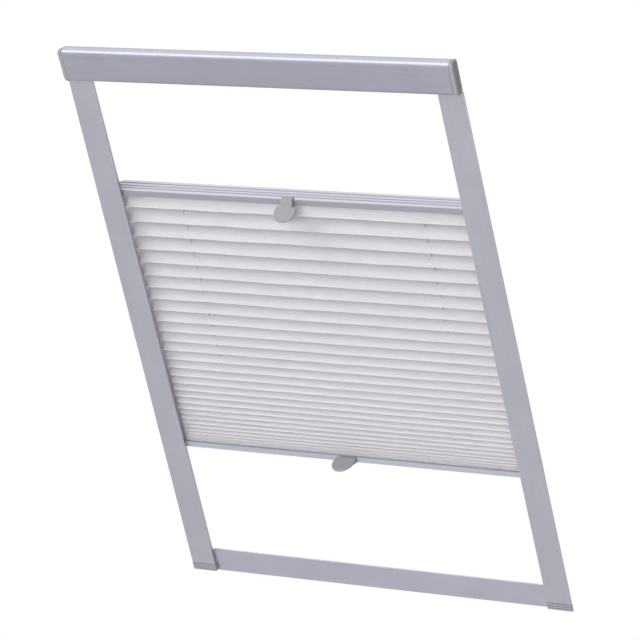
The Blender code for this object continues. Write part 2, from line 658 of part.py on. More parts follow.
def cassette_bracket(name, side, cord_plane):
    """Bracket on the sash: a plate with two snap arms, and the plug at the head of the rail."""
    plate_x = (WEB_INNER_X - BRACKET_INNER_REACH, WEB_OUTER_X + BRACKET_PLATE)
    plate_z = (CASSETTE_BOTTOM + BRACKET_MARGIN, TOP - BRACKET_MARGIN)
    plate_front = SASH_PLANE - BRACKET_PLATE
    arm_x = (PLUG_X[1] - BRACKET_ARM_LENGTH, PLUG_X[1])
    rib_tip = CASSETTE_FRONT + CASSETTE_WALL + SNAP_RIB_REACH
    nose_bottom = TOP - SNAP_RIB_DROP + GAP
    upper_arm_bottom = nose_bottom + BRACKET_ARM
    nose_front = CASSETTE_FRONT + CASSETTE_WALL + GAP
    lip_top = CASSETTE_BOTTOM + CASSETTE_WALL
    lower_nose_front = CASSETTE_FRONT + CASSETTE_LIP + GAP
    upper_arm = [
        (plate_front + BRACKET_PLATE / 2, upper_arm_bottom),
        (rib_tip, upper_arm_bottom),
        (rib_tip, nose_bottom),
        (nose_front, nose_bottom),
        (nose_front, upper_arm_bottom + BRACKET_ARM),
        (plate_front + BRACKET_PLATE / 2, upper_arm_bottom + BRACKET_ARM),
    ]
    lower_arm_bottom = plate_z[0]
    lower_arm = [
        (plate_front + BRACKET_PLATE / 2, lower_arm_bottom),
        (lower_nose_front + BRACKET_NOSE, lower_arm_bottom),
        (lower_nose_front + BRACKET_NOSE, lip_top - CASSETTE_WALL / 2),
        (lower_nose_front, lip_top - CASSETTE_WALL / 2),
        (lower_nose_front, lower_arm_bottom + BRACKET_ARM),
        (plate_front + BRACKET_PLATE / 2, lower_arm_bottom + BRACKET_ARM),
    ]
    bracket = block(name, plate_x, (plate_front, SASH_PLANE), plate_z, "white_plastic")
    join(bracket, prism("upper_arm", upper_arm, *arm_x, 0, "white_plastic"))
    join(bracket, prism("lower_arm", lower_arm, *arm_x, 0, "white_plastic"))
    plug_top = HEAD_PLUG_BOTTOM + HEAD_PLUG_HEIGHT
    join(bracket, block("head_plug", PLUG_X, (plate_front + BRACKET_PLATE / 2, PLUG_BACK),
                        (HEAD_PLUG_BOTTOM, plug_top)))
    centre = (CORD_X, cord_plane)
    cut(bracket, rod("spring_pocket", centre, POCKET_RADIUS, HEAD_PLUG_BOTTOM + HEAD_PLUG_FLOOR,
                     TOP, 2, sides=16))
    cut(bracket, rod("cord_hole", centre, BEAD_BORE_RADIUS, HEAD_PLUG_BOTTOM - HEAD_PLUG_FLOOR,
                     plug_top, 2, sides=8))
    screw_passage(bracket)
    cut(bracket, block("rib_groove", (GUIDE_RIB_X - GAP, WEB_OUTER_X),
                       (GUIDE_RIB_Y[0] - GAP, GUIDE_RIB_Y[1] + GAP), (CASSETTE_BOTTOM, TOP)))
    hole_z = (SASH_OPENING_TOP + plate_z[1]) / 2
    for hole_x in (plate_x[0] + BRACKET_MARGIN, arm_x[0] + 2 * BRACKET_MARGIN):
        cut(bracket, rod("sash_screw_hole", (hole_x, hole_z), BRACKET_HOLE_RADIUS,
                         plate_front - BRACKET_PLATE, SASH_PLANE + BRACKET_PLATE, 1, sides=12))
    seat(bracket, (WEB_INNER_X, SASH_PLANE, plate_z[0]))
    to_side(bracket, side)


def moving_rail_outline(base, top_grooves):
    """Shallow channel section, open below; base is its bottom height."""
    top = base + MOVING_HEIGHT
    lip_top = base + MOVING_LIP_WALL
    inner = (MOVING_FRONT + MOVING_WALL, MOVING_BACK - MOVING_WALL)
    outline = rounded([
        (MOVING_FRONT, base, 0),
        (MOVING_FRONT + MOVING_WALL + MOVING_LIP, base, 0),
        (MOVING_FRONT + MOVING_WALL + MOVING_LIP, lip_top, 0),
        (inner[0], lip_top, 0),
        (inner[0], top - MOVING_WALL, 0),
        (inner[1], top - MOVING_WALL, 0),
        (inner[1], lip_top, 0),
        (MOVING_BACK - MOVING_WALL - MOVING_LIP, lip_top, 0),
        (MOVING_BACK - MOVING_WALL - MOVING_LIP, base, 0),
        (MOVING_BACK, base, 0),
        (MOVING_BACK, top, MOVING_EDGE),
    ], steps=2)
    for share in top_grooves:
        groove = MOVING_BACK - share * MOVING_DEPTH
        outline += [(groove + GROOVE_WIDTH / 2, top), (groove, top - GROOVE_DEPTH),
                    (groove - GROOVE_WIDTH / 2, top)]
    cut_back = MOVING_EDGE * (1 - math.sqrt(0.5))
    corner = [(MOVING_FRONT + MOVING_EDGE, top), (MOVING_FRONT + cut_back, top - cut_back),
              (MOVING_FRONT, top - MOVING_EDGE)]
    return outline + corner


def moving_rail(name, base, end, grooves, open_upwards, parent):
    """Rail across the blind that carries one edge of the cloth."""
    outline = moving_rail_outline(base, grooves)
    if open_upwards:
        outline = [(y, 2 * base + MOVING_HEIGHT - z) for y, z in outline]
    rail = prism(name, outline, -end, end, 0, "light_aluminium")
    if end > CORD_X:
        half = CORD_PASSAGE / 2
        middle = cord_end_plane(0)
        hole_y = (middle - CORD_PLANE_STEP / 2 - half, middle + CORD_PLANE_STEP / 2 + half)
        for centre_x in (-CORD_X, CORD_X):
            cut(rail, block("cord_hole", (centre_x - half, centre_x + half), hole_y,
                            (base + CORD_RUN_HEIGHT, base + 2 * MOVING_HEIGHT)))
    seat(rail, (0, MOVING_FRONT, base), parent)


def glide(name, side, base, rail_end, upwards, parent):
    """Moulded end piece: prongs in the rail, a grooved head in the channel, a way for the cord."""
    head_x = (WEB_INNER_X - GLIDE_CLEARANCE - GLIDE_HEAD_WIDTH, WEB_INNER_X - GLIDE_CLEARANCE)
    head_front = CHANNEL_FRONT + GLIDE_CLEARANCE
    head_back = head_front + GLIDE_HEAD_DEPTH
    top = base + MOVING_HEIGHT
    tall = (base, top + GLIDE_EXTRA_HEIGHT) if upwards else (base - GLIDE_EXTRA_HEIGHT, top)
    neck_start = rail_end + GAP
    plan = [(head_x[0], head_front), (head_x[1], head_front), (head_x[1], head_back), (head_x[0], head_back)]
    if neck_start < head_x[0] - GAP:
        plan += [(head_x[0], MOVING_BACK), (neck_start, MOVING_BACK),
                 (neck_start, MOVING_FRONT), (head_x[0], MOVING_FRONT)]
    body = prism(name, plan, base, top, 2, "grey_plastic")
    join(body, block("shoe", head_x, (head_front, MOVING_FRONT + GLIDE_EXTRA_DEPTH), tall))
    cut(body, block("rib_groove", (GUIDE_RIB_X - GAP, WEB_OUTER_X),
                    (GUIDE_RIB_Y[0] - GAP, GUIDE_RIB_Y[1] + GAP),
                    (tall[0] - MOVING_HEIGHT, tall[1] + MOVING_HEIGHT)))
    plane = cord_end_plane(side if upwards else -side)
    half = CORD_PASSAGE / 2
    passage_y = (plane - half, plane + half + GAP)
    if upwards:
        prong_z = (base + MOVING_LIP_WALL + GAP, top - MOVING_WALL - GAP)
        run_z = base + CORD_RUN_HEIGHT
        drop_z = (run_z, tall[1] + MOVING_HEIGHT)
    else:
        prong_z = (base + MOVING_WALL + GAP, top - MOVING_LIP_WALL - GAP)
        run_z = top - CORD_RUN_HEIGHT
        drop_z = (tall[0] - MOVING_HEIGHT, run_z)
    prong_end = min(neck_start, head_x[0]) + GLIDE_EDGE
    front_y = MOVING_FRONT + MOVING_WALL + GAP
    back_y = MOVING_BACK - MOVING_WALL - GAP
    prong_x = (rail_end - GLIDE_PRONG_LENGTH, prong_end)
    join(body, block("front_prong", prong_x, (front_y, front_y + GLIDE_FRONT_PRONG_WIDTH), prong_z))
    join(body, block("back_prong", prong_x, (back_y - GLIDE_BACK_PRONG_WIDTH, back_y), prong_z))
    if rail_end < CORD_X:
        cut(body, block("level_passage", (rail_end - GLIDE_PRONG_LENGTH, CORD_X + half), passage_y,
                        (run_z - half / 2, run_z + half / 2)))
        cut(body, block("upright_passage", (CORD_X - 2 * half, CORD_X + half), passage_y, drop_z))
    seat(body, (WEB_INNER_X, CLOTH_MIDDLE, base), parent)
    to_side(body, side)


def cord_hole_plane(side):
    """Depth at which the left (-1) or right (1) cord goes through the cloth."""
    return CORD_HOLE_MIDDLE + side * CORD_PLANE_STEP / 2


def cord_end_plane(side):
    """Depth at which that cord runs in the side rails."""
    return CHANNEL_FRONT + CORD_FROM_FLANGE + side * CORD_PLANE_STEP / 2


def handle_plate(name, back_edge, length, tilt):
    """D-shaped finger plate: straight behind, full and round in front, tilted down.

    Its back edge's middle lies at back_edge, (x, y, z).
    """
    half_neck = HANDLE_PLATE_NECK_WIDTH / 2
    half_width = HANDLE_PLATE_WIDTH / 2
    shoulder = length * HANDLE_SHOULDER_SHARE
    half_shoulder = half_width * HANDLE_SHOULDER_WIDTH_SHARE
    outline = [(half_neck, 0.0), (half_shoulder, -shoulder / 2)]
    for step in range(HANDLE_ARC_STEPS + 1):
        angle = math.pi * step / HANDLE_ARC_STEPS
        outline.append((half_width * math.cos(angle),
                        -shoulder - (length - shoulder) * math.sin(angle)))
    outline += [(-half_shoulder, -shoulder / 2), (-half_neck, 0.0)]
    bm = prism_mesh(outline, -HANDLE_PLATE_THICKNESS, 0.0, 2)
    rim = [edge for edge in bm.edges if abs(edge.verts[0].co.z - edge.verts[1].co.z) < 1e-7
           and edge.verts[0].co.y + edge.verts[1].co.y < -1e-7]
    bmesh.ops.bevel(bm, geom=rim, offset=HANDLE_EDGE, segments=1, profile=0.5, affect="EDGES",
                    material=-1)
    bmesh.ops.rotate(bm, verts=bm.verts, cent=(0, 0, 0), matrix=Matrix.Rotation(tilt, 3, "X"))
    bmesh.ops.translate(bm, verts=bm.verts, vec=back_edge)
    return link_mesh(name, bm, "grey_plastic")


def upper_handle(parent):
    """Handle hooked over the upper rail's front edge, its plate below the rail."""
    face = MOVING_FRONT - GAP
    top = UPPER_RAIL_TOP
    under = UPPER_RAIL_BOTTOM - GAP
    foot = top - UPPER_STRAP_DROP
    strap = rounded([
        (MOVING_FRONT + STRAP_HOOK, top + GAP, 0),
        (MOVING_FRONT + STRAP_HOOK, top + GAP + STRAP_THICKNESS, 0),
        (face - STRAP_THICKNESS, top + GAP + STRAP_THICKNESS, STRAP_BEND),
        (face - UPPER_STRAP_REACH, foot, 0),
        (face - UPPER_STRAP_REACH + STRAP_THICKNESS, foot - STRAP_THICKNESS, 0),
        (MOVING_FRONT + STRAP_THICKNESS, under - STRAP_THICKNESS, 0),
        (MOVING_FRONT + STRAP_THICKNESS, under, 0),
        (face, under, 0),
        (face, top + GAP, 0),
    ], steps=3)
    half = STRAP_WIDTH / 2
    span = (UPPER_HANDLE_X - half, UPPER_HANDLE_X + half)
    handle = prism("upper_handle", strap, *span, 0, "grey_plastic")
    back_edge = (UPPER_HANDLE_X, face - UPPER_STRAP_REACH + HANDLE_EDGE, foot + STRAP_THICKNESS)
    join(handle, handle_plate("plate", back_edge, UPPER_PLATE_LENGTH, UPPER_HANDLE_TILT))
    seat(handle, (UPPER_HANDLE_X, MOVING_FRONT, top), parent)


def lower_handle(parent):
    """Handle hooked under the lower rail, its plate level with the rail's top edge."""
    face = MOVING_FRONT - GAP
    base = LOWER_RAIL_BOTTOM
    crown = LOWER_RAIL_TOP + LOWER_STRAP_RISE
    strap = [
        (MOVING_FRONT + STRAP_HOOK, base - GAP),
        (MOVING_FRONT + STRAP_HOOK, base - GAP - STRAP_THICKNESS),
        (face - STRAP_THICKNESS, base - GAP - STRAP_THICKNESS),
        (face - LOWER_STRAP_REACH, crown - STRAP_THICKNESS),
        (face - LOWER_STRAP_REACH + STRAP_THICKNESS, crown),
        (face, LOWER_RAIL_TOP - STRAP_THICKNESS),
        (face, base - GAP),
    ]
    half = STRAP_WIDTH / 2
    span = (LOWER_HANDLE_X - half, LOWER_HANDLE_X + half)
    handle = prism("lower_handle", strap, *span, 0, "grey_plastic")
    clip_x = (LOWER_HANDLE_X - LOWER_CLIP_WIDTH / 2, LOWER_HANDLE_X + LOWER_CLIP_WIDTH / 2)
    join(handle, block("clip", clip_x, (face - LOWER_CLIP_THICKNESS, face),
                       (base + GAP, LOWER_RAIL_TOP - GAP)))
    back_edge = (LOWER_HANDLE_X, face - LOWER_STRAP_REACH + STRAP_THICKNESS, crown)
    join(handle, handle_plate("plate", back_edge, LOWER_PLATE_LENGTH, LOWER_HANDLE_TILT))
    seat(handle, (LOWER_HANDLE_X, MOVING_FRONT, base), parent)


def fabric_strip(name, base, open_upwards, parent):
    """Flat strip inside a moving rail that holds the cloth's edge, slotted for the cords."""
    if open_upwards:
        high = base + MOVING_HEIGHT - MOVING_LIP_WALL - GAP
        z = (high - STRIP_THICKNESS, high)
    else:
        low = base + MOVING_LIP_WALL + GAP
        z = (low, low + STRIP_THICKNESS)
    strip_y = (CLOTH_MIDDLE - STRIP_WIDTH / 2, CLOTH_MIDDLE + STRIP_WIDTH / 2)
    strip = block(name, (-STRIP_END_X, STRIP_END_X), strip_y, z, "white_plastic")
    for side in (-1, 1):
        centre_x = side * CORD_HOLE_FROM_MIDDLE
        slot_x = (centre_x - CORD_SLOT[0], centre_x + CORD_SLOT[0])
        slot_y = (CORD_HOLE_MIDDLE - CORD_SLOT[1] / 2, CORD_HOLE_MIDDLE + CORD_SLOT[1] / 2)
        cut(strip, block("cord_slot", slot_x, slot_y, (z[0] - GAP, z[1] + GAP)))
    seat(strip, (0, CLOTH_MIDDLE, base), parent)


def fold_heights():
    """Heights of the cloth's front folds and back edges, wide apart at the top, tight below.

    The distance between front folds shrinks by the same amount from each fold to the next, and
    each back edge lies midway between two front folds.
    """
    first = UPPER_RAIL_BOTTOM - FIRST_FOLD_DROP
    last = LOWER_RAIL_TOP + LAST_FOLD_RISE
    shares = [1 - PITCH_LOSS_SHARE * index for index in range(PLEAT_COUNT - 1)]
    first_pitch = (first - last) / sum(shares)
    fronts = [first]
    for share in shares:
        fronts.append(fronts[-1] - first_pitch * share)
    middles = [(above + below) / 2 for above, below in zip(fronts, fronts[1:])]
    return fronts, [UPPER_RAIL_BOTTOM, *middles, LOWER_RAIL_TOP]


def pleat_outline(first_fall, second_fall, tabbed):
    """Two panels that meet at the front fold, as (depth, distance from the pleat's first edge).

    The front fold lies first_fall beyond the first edge, and the last edge second_fall beyond it.
    A tabbed pleat starts with a flat tab that lies inside a moving rail, under its strip.
    """
    total = first_fall + second_fall
    second_depth = math.sqrt(PLEAT_PANEL ** 2 - second_fall ** 2)
    first_depth = math.sqrt(PLEAT_PANEL ** 2 - first_fall ** 2)
    front = CLOTH_MIDDLE - second_depth / 2
    back = front + second_depth
    near_back = front + first_depth
    first_rise = CLOTH_THICKNESS * PLEAT_PANEL / first_depth
    second_rise = CLOTH_THICKNESS * PLEAT_PANEL / second_depth
    crease = (first_rise + second_rise) / 2
    mouth = MOVING_WALL + MOVING_LIP + CLOTH_MOUTH_GAP
    tab_back = min(near_back, MOVING_BACK - mouth)
    tab_inner = tab_back - CLOTH_THICKNESS
    first_start = (tab_inner, 0.0) if tabbed else (near_back, GAP / 2)
    first_slope = (first_fall - crease / 2 - first_start[1]) / (first_start[0] - front)
    second_slope = (total - GAP / 2 - first_fall - crease / 2) / second_depth
    inner = crease / (first_slope + second_slope)
    outline = [
        (front, first_fall - crease / 2),
        (front, first_fall + crease / 2),
        (back, total - GAP / 2),
        (back, total - GAP / 2 - second_rise),
        (front + inner, first_fall - crease / 2 + first_rise - first_slope * inner),
    ]
    if not tabbed:
        return outline + [(near_back, GAP / 2 + first_rise), (near_back, GAP / 2)]
    tab_front = MOVING_FRONT + mouth
    tab_near = CLOTH_THICKNESS - MOVING_LIP_WALL
    return outline + [
        (tab_back, first_rise - first_slope * CLOTH_THICKNESS),
        (tab_back, tab_near - CLOTH_THICKNESS),
        (tab_front, tab_near - CLOTH_THICKNESS),
        (tab_front, tab_near),
        (tab_inner, tab_near),
        (tab_inner, 0.0),
    ]


def pleat(name, first, crease, last, tabbed):
    """One pleat of the cloth, from the height of its first edge over its fold to its last edge."""
    direction = math.copysign(1, last - first)
    shape = pleat_outline(abs(crease - first), abs(last - crease), tabbed)
    outline = [(y, first + direction * away) for y, away in shape]
    end = WEB_INNER_X - CLOTH_END_GAP
    cloth = prism(name, outline, -end, end, 0, "pleated_cloth")
    reach = (min(first, last) - MOVING_HEIGHT, max(first, last) + MOVING_HEIGHT)
    half_x = CORD_SLOT[0] / 2
    half_y = CORD_SLOT[1] / 2
    for centre_x in (-CORD_HOLE_FROM_MIDDLE, CORD_HOLE_FROM_MIDDLE):
        slot = [(centre_x - half_x, CORD_HOLE_MIDDLE), (centre_x, CORD_HOLE_MIDDLE - half_y),
                (centre_x + half_x, CORD_HOLE_MIDDLE), (centre_x, CORD_HOLE_MIDDLE + half_y)]
        cut(cloth, prism("cord_slot", slot, *reach, 2, "pleated_cloth"))
    if tabbed:
        notch_z = sorted((first - direction * MOVING_HEIGHT, first + direction * GAP))
        for side in (-1, 1):
            notch_x = sorted((side * STRIP_END_X, side * HALF_WIDTH))
            cut(cloth, block("tab_notch", notch_x, (RAIL_FRONT, MOVING_BACK + MOVING_WALL), notch_z))
    seat(cloth, (0, CLOTH_MIDDLE, (first + last) / 2))


def pleated_cloth():
    """The folded cloth, pleat by pleat from the upper rail to the lower."""
    fronts, edges = fold_heights()
    for number, (above, crease, below) in enumerate(zip(edges, fronts, edges[1:]), start=1):
        name = f"pleat_{number:02d}"
        if number == PLEAT_COUNT:
            pleat(name, below, crease, above, True)
        else:
            pleat(name, above, crease, below, number == 1)


def bend(corner, before, after):
    """Points of a small round bend at a corner of the cord's route."""
    corner = Vector(corner)
    towards = (Vector(before) - corner).normalized()
    onwards = (Vector(after) - corner).normalized()
    centre = corner + (towards + onwards) * CORD_BEND
    points = []
    for step in range(CORD_BEND_POINTS + 1):
        angle = math.pi / 2 * step / CORD_BEND_POINTS
        points.append(centre - onwards * CORD_BEND * math.cos(angle) - towards * CORD_BEND * math.sin(angle))
    return points


def cord_route(side):
    """From the head anchor, through the upper rail, the pleats and the lower rail, to the foot."""
    upper_run = UPPER_RAIL_BOTTOM + CORD_RUN_HEIGHT
    lower_run = LOWER_RAIL_TOP - CORD_RUN_HEIGHT
    head_end = HEAD_PLUG_BOTTOM + HEAD_PLUG_HEIGHT - GAP - BEAD_HEIGHT + BEAD_BORE_DEPTH - GAP
    foot_end = FOOT_POST_TOP - FOOT_ANCHOR_BORE_DEPTH + GAP
    end_y = cord_end_plane(side)
    hole_y = cord_hole_plane(side)
    hole_x = side * CORD_HOLE_FROM_MIDDLE
    head = (side * CORD_X, end_y, head_end)
    upper_end = (side * CORD_X, end_y, upper_run)
    upper_turn = (hole_x, hole_y, upper_run)
    lower_turn = (hole_x, hole_y, lower_run)
    level = (-hole_x, hole_y, lower_run)
    lower_end = (-side * CORD_X, end_y, lower_run)
    foot = (-side * CORD_X, end_y, foot_end)
    route = [head]
    route += bend(upper_end, head, upper_turn)
    route += bend(upper_turn, upper_end, lower_turn)
    route += bend(lower_turn, upper_turn, level)
    route.append(level)
    route += bend(lower_end, level, foot)
    return route + [foot]


def spring(name, side, plane):
    """Coil under the head anchor that keeps the cord taut."""
    low = HEAD_PLUG_BOTTOM + HEAD_PLUG_FLOOR + GAP + SPRING_WIRE / 2
    high = HEAD_PLUG_BOTTOM + HEAD_PLUG_HEIGHT - 2 * GAP - BEAD_HEIGHT - SPRING_WIRE / 2
    steps = SPRING_TURNS * SPRING_POINTS
    points = []
    for step in range(steps + 1):
        angle = math.tau * step / SPRING_POINTS
        points.append((side * CORD_X + SPRING_RADIUS * math.cos(angle),
                       plane + SPRING_RADIUS * math.sin(angle), low + (high - low) * step / steps))
    pitch = (high - low) / SPRING_TURNS
    print(name, "least gap between turns, mm:", round((pitch - SPRING_WIRE) * 1000, 2))
    tube(name, points, SPRING_WIRE, "spring_steel", 1)


def head_anchor(name, side, plane):
    """Bead on the cord's upper end, which rests on the spring."""
    top = HEAD_PLUG_BOTTOM + HEAD_PLUG_HEIGHT - GAP
    base = top - BEAD_HEIGHT
    centre = (side * CORD_X, plane)
    bead = rod(name, centre, BEAD_RADIUS, base, top, 2, "white_plastic")
    cut(bead, rod("bore", centre, BEAD_BORE_RADIUS, base - BEAD_HEIGHT, base + BEAD_BORE_DEPTH, 2, sides=8))
    seat(bead, (*centre, base))
    shade_round(bead)


def foot_anchor(name, side, plane):
    """Bead on the cord's lower end, held in the foot's pocket."""
    top = FOOT_POST_TOP
    base = top - FOOT_ANCHOR_HEIGHT
    centre = (side * CORD_X, plane)
    bead = rod(name, centre, FOOT_ANCHOR_RADIUS, base, top, 2, "white_plastic", sides=12)
    cut(bead, rod("bore", centre, BEAD_BORE_RADIUS, top - FOOT_ANCHOR_BORE_DEPTH, top + BEAD_HEIGHT, 2,
                  sides=8))
    seat(bead, (*centre, base))
    shade_round(bead)


def head_screw(name, side):
    """Screw that holds a bracket's plug to the head of the side rail."""
    head_start = PLUG_X[0] + GAP
    head_end = head_start + SCREW_HEAD_HEIGHT
    centre = (SCREW_Y, head_screw_height())
    screw = rod(name, centre, SCREW_HEAD_RADIUS, head_start, head_end, 0, "screw_steel", SCREW_SIDES)
    soften(screw, SCREW_HEAD_HEIGHT / 3, lambda edge: all(vert.co.x < head_end - GAP for vert in edge.verts))
    join(screw, rod("shank", centre, SCREW_SHANK_RADIUS, head_end - GAP, WEB_OUTER_X - GAP, 0,
                    "screw_steel", SCREW_SIDES))
    seat(screw, (head_start, *centre))
    shade_round(screw)
    to_side(screw, side)


def build():
    """Models the whole blind."""
    clear_scene()
    upper_slide = slide_empty("upper_rail_slide", (0, MOVING_FRONT, UPPER_RAIL_BOTTOM))
    lower_slide = slide_empty("lower_rail_slide", (0, MOVING_FRONT, LOWER_RAIL_BOTTOM))
    bottom_bar()
    cassette_cover()
    for side, word in ((-1, "left"), (1, "right")):
        own_plane = cord_end_plane(side)
        other_plane = cord_end_plane(-side)
        side_rail(f"side_rail_{word}", side)
        rail_foot(f"rail_foot_{word}", side, other_plane)
        cassette_end_cap(f"cassette_end_cap_{word}", side)
        cassette_bracket(f"cassette_bracket_{word}", side, own_plane)
        glide(f"upper_glide_{word}", side, UPPER_RAIL_BOTTOM, UPPER_RAIL_END, True, upper_slide)
        glide(f"lower_glide_{word}", side, LOWER_RAIL_BOTTOM, LOWER_RAIL_END, False, lower_slide)
        tube(f"tension_cord_{word}", cord_route(side), CORD_DIAMETER, "cord", 1)
        spring(f"cord_spring_{word}", side, own_plane)
        head_anchor(f"cord_bead_{word}", side, own_plane)
        foot_anchor(f"cord_foot_anchor_{word}", side, other_plane)
        head_screw(f"head_screw_{word}", side)
    moving_rail("upper_rail", UPPER_RAIL_BOTTOM, UPPER_RAIL_END, GROOVE_SHARES, False, upper_slide)
    moving_rail("lower_rail", LOWER_RAIL_BOTTOM, LOWER_RAIL_END, (), True, lower_slide)
    upper_handle(upper_slide)
    lower_handle(lower_slide)
    fabric_strip("upper_cloth_strip", UPPER_RAIL_BOTTOM, False, upper_slide)
    fabric_strip("lower_cloth_strip", LOWER_RAIL_BOTTOM, True, lower_slide)
    pleated_cloth()


build()
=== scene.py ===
"""Looks of a pleated blind for a roof window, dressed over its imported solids.

Units are metres. X runs across the blind, Y from the room (-) to the glass (+) and Z up.
"""

import math

import bmesh
import bpy
from mathutils import Matrix, Vector, noise


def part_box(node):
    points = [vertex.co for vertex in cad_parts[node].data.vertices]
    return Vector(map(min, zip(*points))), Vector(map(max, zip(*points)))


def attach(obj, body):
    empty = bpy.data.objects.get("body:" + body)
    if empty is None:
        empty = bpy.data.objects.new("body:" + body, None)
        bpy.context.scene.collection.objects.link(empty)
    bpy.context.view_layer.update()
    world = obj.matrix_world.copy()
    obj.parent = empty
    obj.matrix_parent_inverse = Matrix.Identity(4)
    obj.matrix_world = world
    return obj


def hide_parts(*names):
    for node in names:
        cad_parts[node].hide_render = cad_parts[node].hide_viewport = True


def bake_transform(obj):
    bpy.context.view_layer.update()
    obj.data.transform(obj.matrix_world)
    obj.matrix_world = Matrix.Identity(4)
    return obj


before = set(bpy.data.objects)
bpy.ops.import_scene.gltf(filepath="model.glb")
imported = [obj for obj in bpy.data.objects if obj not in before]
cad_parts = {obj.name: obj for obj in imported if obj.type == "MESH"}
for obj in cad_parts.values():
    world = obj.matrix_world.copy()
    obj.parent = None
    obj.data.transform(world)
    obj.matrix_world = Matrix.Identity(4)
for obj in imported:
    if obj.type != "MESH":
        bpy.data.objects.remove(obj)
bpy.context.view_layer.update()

SIDES = ((-1, "left"), (1, "right"))
SMOOTH_ANGLE = math.radians(32)
TINY = 0.0001  # a point this close to a plane lies in it
WHITE = (1.0, 1.0, 1.0, 1.0)

# Folds of the cloth
PLEATS = 30
FIRST_DROP = 0.0117  # from the upper rail down to the first front fold
LAST_RISE = 0.0003  # from the lower rail up to the last front fold
PITCH_LOSS_SHARE = 0.0311  # each pitch is shorter by this share of the first pitch
STILL_FOLD = 10  # the back fold that keeps its place while the rails move
PANEL = 0.0150  # from one fold to the next, along the cloth
PANEL_SHARES = (0.0, 0.03, 0.08, 0.14, 0.2, 0.26, 0.32, 0.38, 0.44, 0.5, 0.6, 0.7, 0.8, 0.92)
FOLD_TIP = 0.0001575  # how far a rounded fold stands out in front of its panels
FOLD_SIDE = 0.0000675  # the same a little above and below, by this share of a panel's height:
FOLD_SIDE_SHARE = 0.02
CLOTH_HALF = 0.1799
CLOTH_COLUMNS = 88
GRID_HALF = 0.5  # of the flat grid that becomes a pleat

# Unevenness of the cloth
RIPPLE_WAVES = ((21.0, 7.31, 0.4, 1.0), (57.0, 3.17, 2.2, 0.5))  # across, by fold, seed, strength
FOLD_WAVE = 0.00034
FOLD_WAVE_DEPTH = 0.00016
BACK_FOLD_WAVE_SHARE = 0.3
PANEL_SAG = 0.00022
SAG_STRETCH = 0.7
SAG_SEED = 40

# Slots for the cords in the cloth, and the darker marks round them
CORD_HOLE_X = 0.1180
CORD_HOLE_SETBACK = 0.0026
HOLE_HALF_WIDTH = 0.0006
HOLE_HALF_LENGTH = 0.0013
HOLE_SHARE = 0.687  # place on a panel, from its front fold (0) to its back fold (1)
HOLE_CLEAR = 0.0040  # within this of a slot, close columns take the place of the even ones
HOLE_COLUMNS = (-3, -2, -1.4, -1, -0.5, 0, 0.5, 1, 1.4, 2, 3)  # in half widths of a slot
MARK_HALF_WIDTH = 0.0008
MARK_HALF_LENGTH = 0.0015

# Looks of the cloth
WARP_PITCH = 0.00042
WEFT_PITCH = 0.00038
SLUB_SCALE = (420.0, 2600.0, 1.0)
CLOTH_CLOUD_SCALE = (70.0, 110.0, 1.0)
# Painted light: the cloth is lighter towards the lower rail, against the shade between its tight lower
# pleats
LOWER_LIGHT_FROM = 0.12  # share of the cloth's length, from the upper rail
LOWER_LIGHT_GAIN = 1.2
LOWER_LIGHT_POWER = 1.3
# Painted shade towards the upper pleats' back folds and at the lower pleats' front folds
BACK_SHADE_FROM = 0.45  # share of a panel, from its front fold
BACK_SHADE_GAIN = 1.7
BACK_SHADE = 0.5
FRONT_SHADE_GAIN = 2.6
FRONT_SHADE = 0.3
MARK_SHADE = 0.4
# Painted light, a little warm, at the cloth's ends, where the side rails shade it
END_REACH = 0.012
END_GAIN = 80.0
END_PAINTED_LIGHT = 0.8
LIGHT_THROUGH = 0.3  # share of the light that passes the cloth, and as much again at its ends

# Looks of metals and mouldings. The scales of textures are in features per metre.
NOISE_ROUGHNESS = 0.55
LINES_ALONG = 9.0
LINES_ACROSS = 1400.0
FINE_GRAIN = 5200.0
METAL_CLOUDS = 22.0
METAL_DARK = 0.95
METAL_LIGHT = 1.05
METAL_SHADE_FROM = 0.35
METAL_SHADE_GAIN = 3.3
MOULDED_GRAIN = 2600.0
MOULDED_CLOUDS = 60.0
MOULDED_DARK = 0.93
MOULDED_LIGHT = 1.06
STEEL_MARKS = 3200.0
STEEL_DARK = 0.82

# Upper rail: its top, the grooves across it (0 at the back, 1 at the front) with painted shade, and its
# front wall with painted shade
TOP_SKIN = 0.0009
TOP_DARK = 0.97
GROOVE_SHARES = (0.26, 0.51, 0.73)
GROOVE_REACH = 0.0009
GROOVE_EDGE = 1.6
GROOVE_SHADE_TONE = 0.46
FRONT_SKIN = 0.0004
FRONT_WALL_SHADE_TONE = 0.63

# Painted shade on the outer ends of the caps
CAP_SHADED_FROM = 0.1896
OUTER_SHADE_GAIN = 700.0
OUTER_SHADE_TONE = 0.6

# Cassette
CASSETTE_TOP = 0.5040
CASSETTE_BOTTOM = 0.4746
CASSETTE_FRONT = -0.0110
CASSETTE_BACK = -0.0003
BACK_EDGE_FALL = 0.0012  # from the front of the top to its back edge
COVER_HALF = 0.1870
COVER_WALL = 0.0012
COVER_TOP_RADIUS = 0.0045
COVER_BOTTOM_RADIUS = 0.0040
COVER_CROWN_STEP = 0.0002
COVER_LIP = 0.0052
COVER_TAIL = 0.0036
COVER_SEGMENTS = 9
SNAP_RIB_TOP = 0.4955
SNAP_RIB_REACH = 0.0014
CAP_INNER_X = 0.1873
CAP_OUTER_X = 0.1924
CAP_DROP = 0.0004
CAP_RADIUS = 0.0032
CAP_TOP_RADIUS = 0.0040
CAP_BOTTOM_RADIUS = 0.0033
CAP_TAPER = 0.0006
CAP_BACK_SHARE = 0.45
CAP_SEGMENTS = 7
SPIGOT_CLEARANCE = 0.0004
SPIGOT_LENGTH = 0.0050
SPIGOT_HOLLOW = 0.0045
SPIGOT_WALL = 0.0014

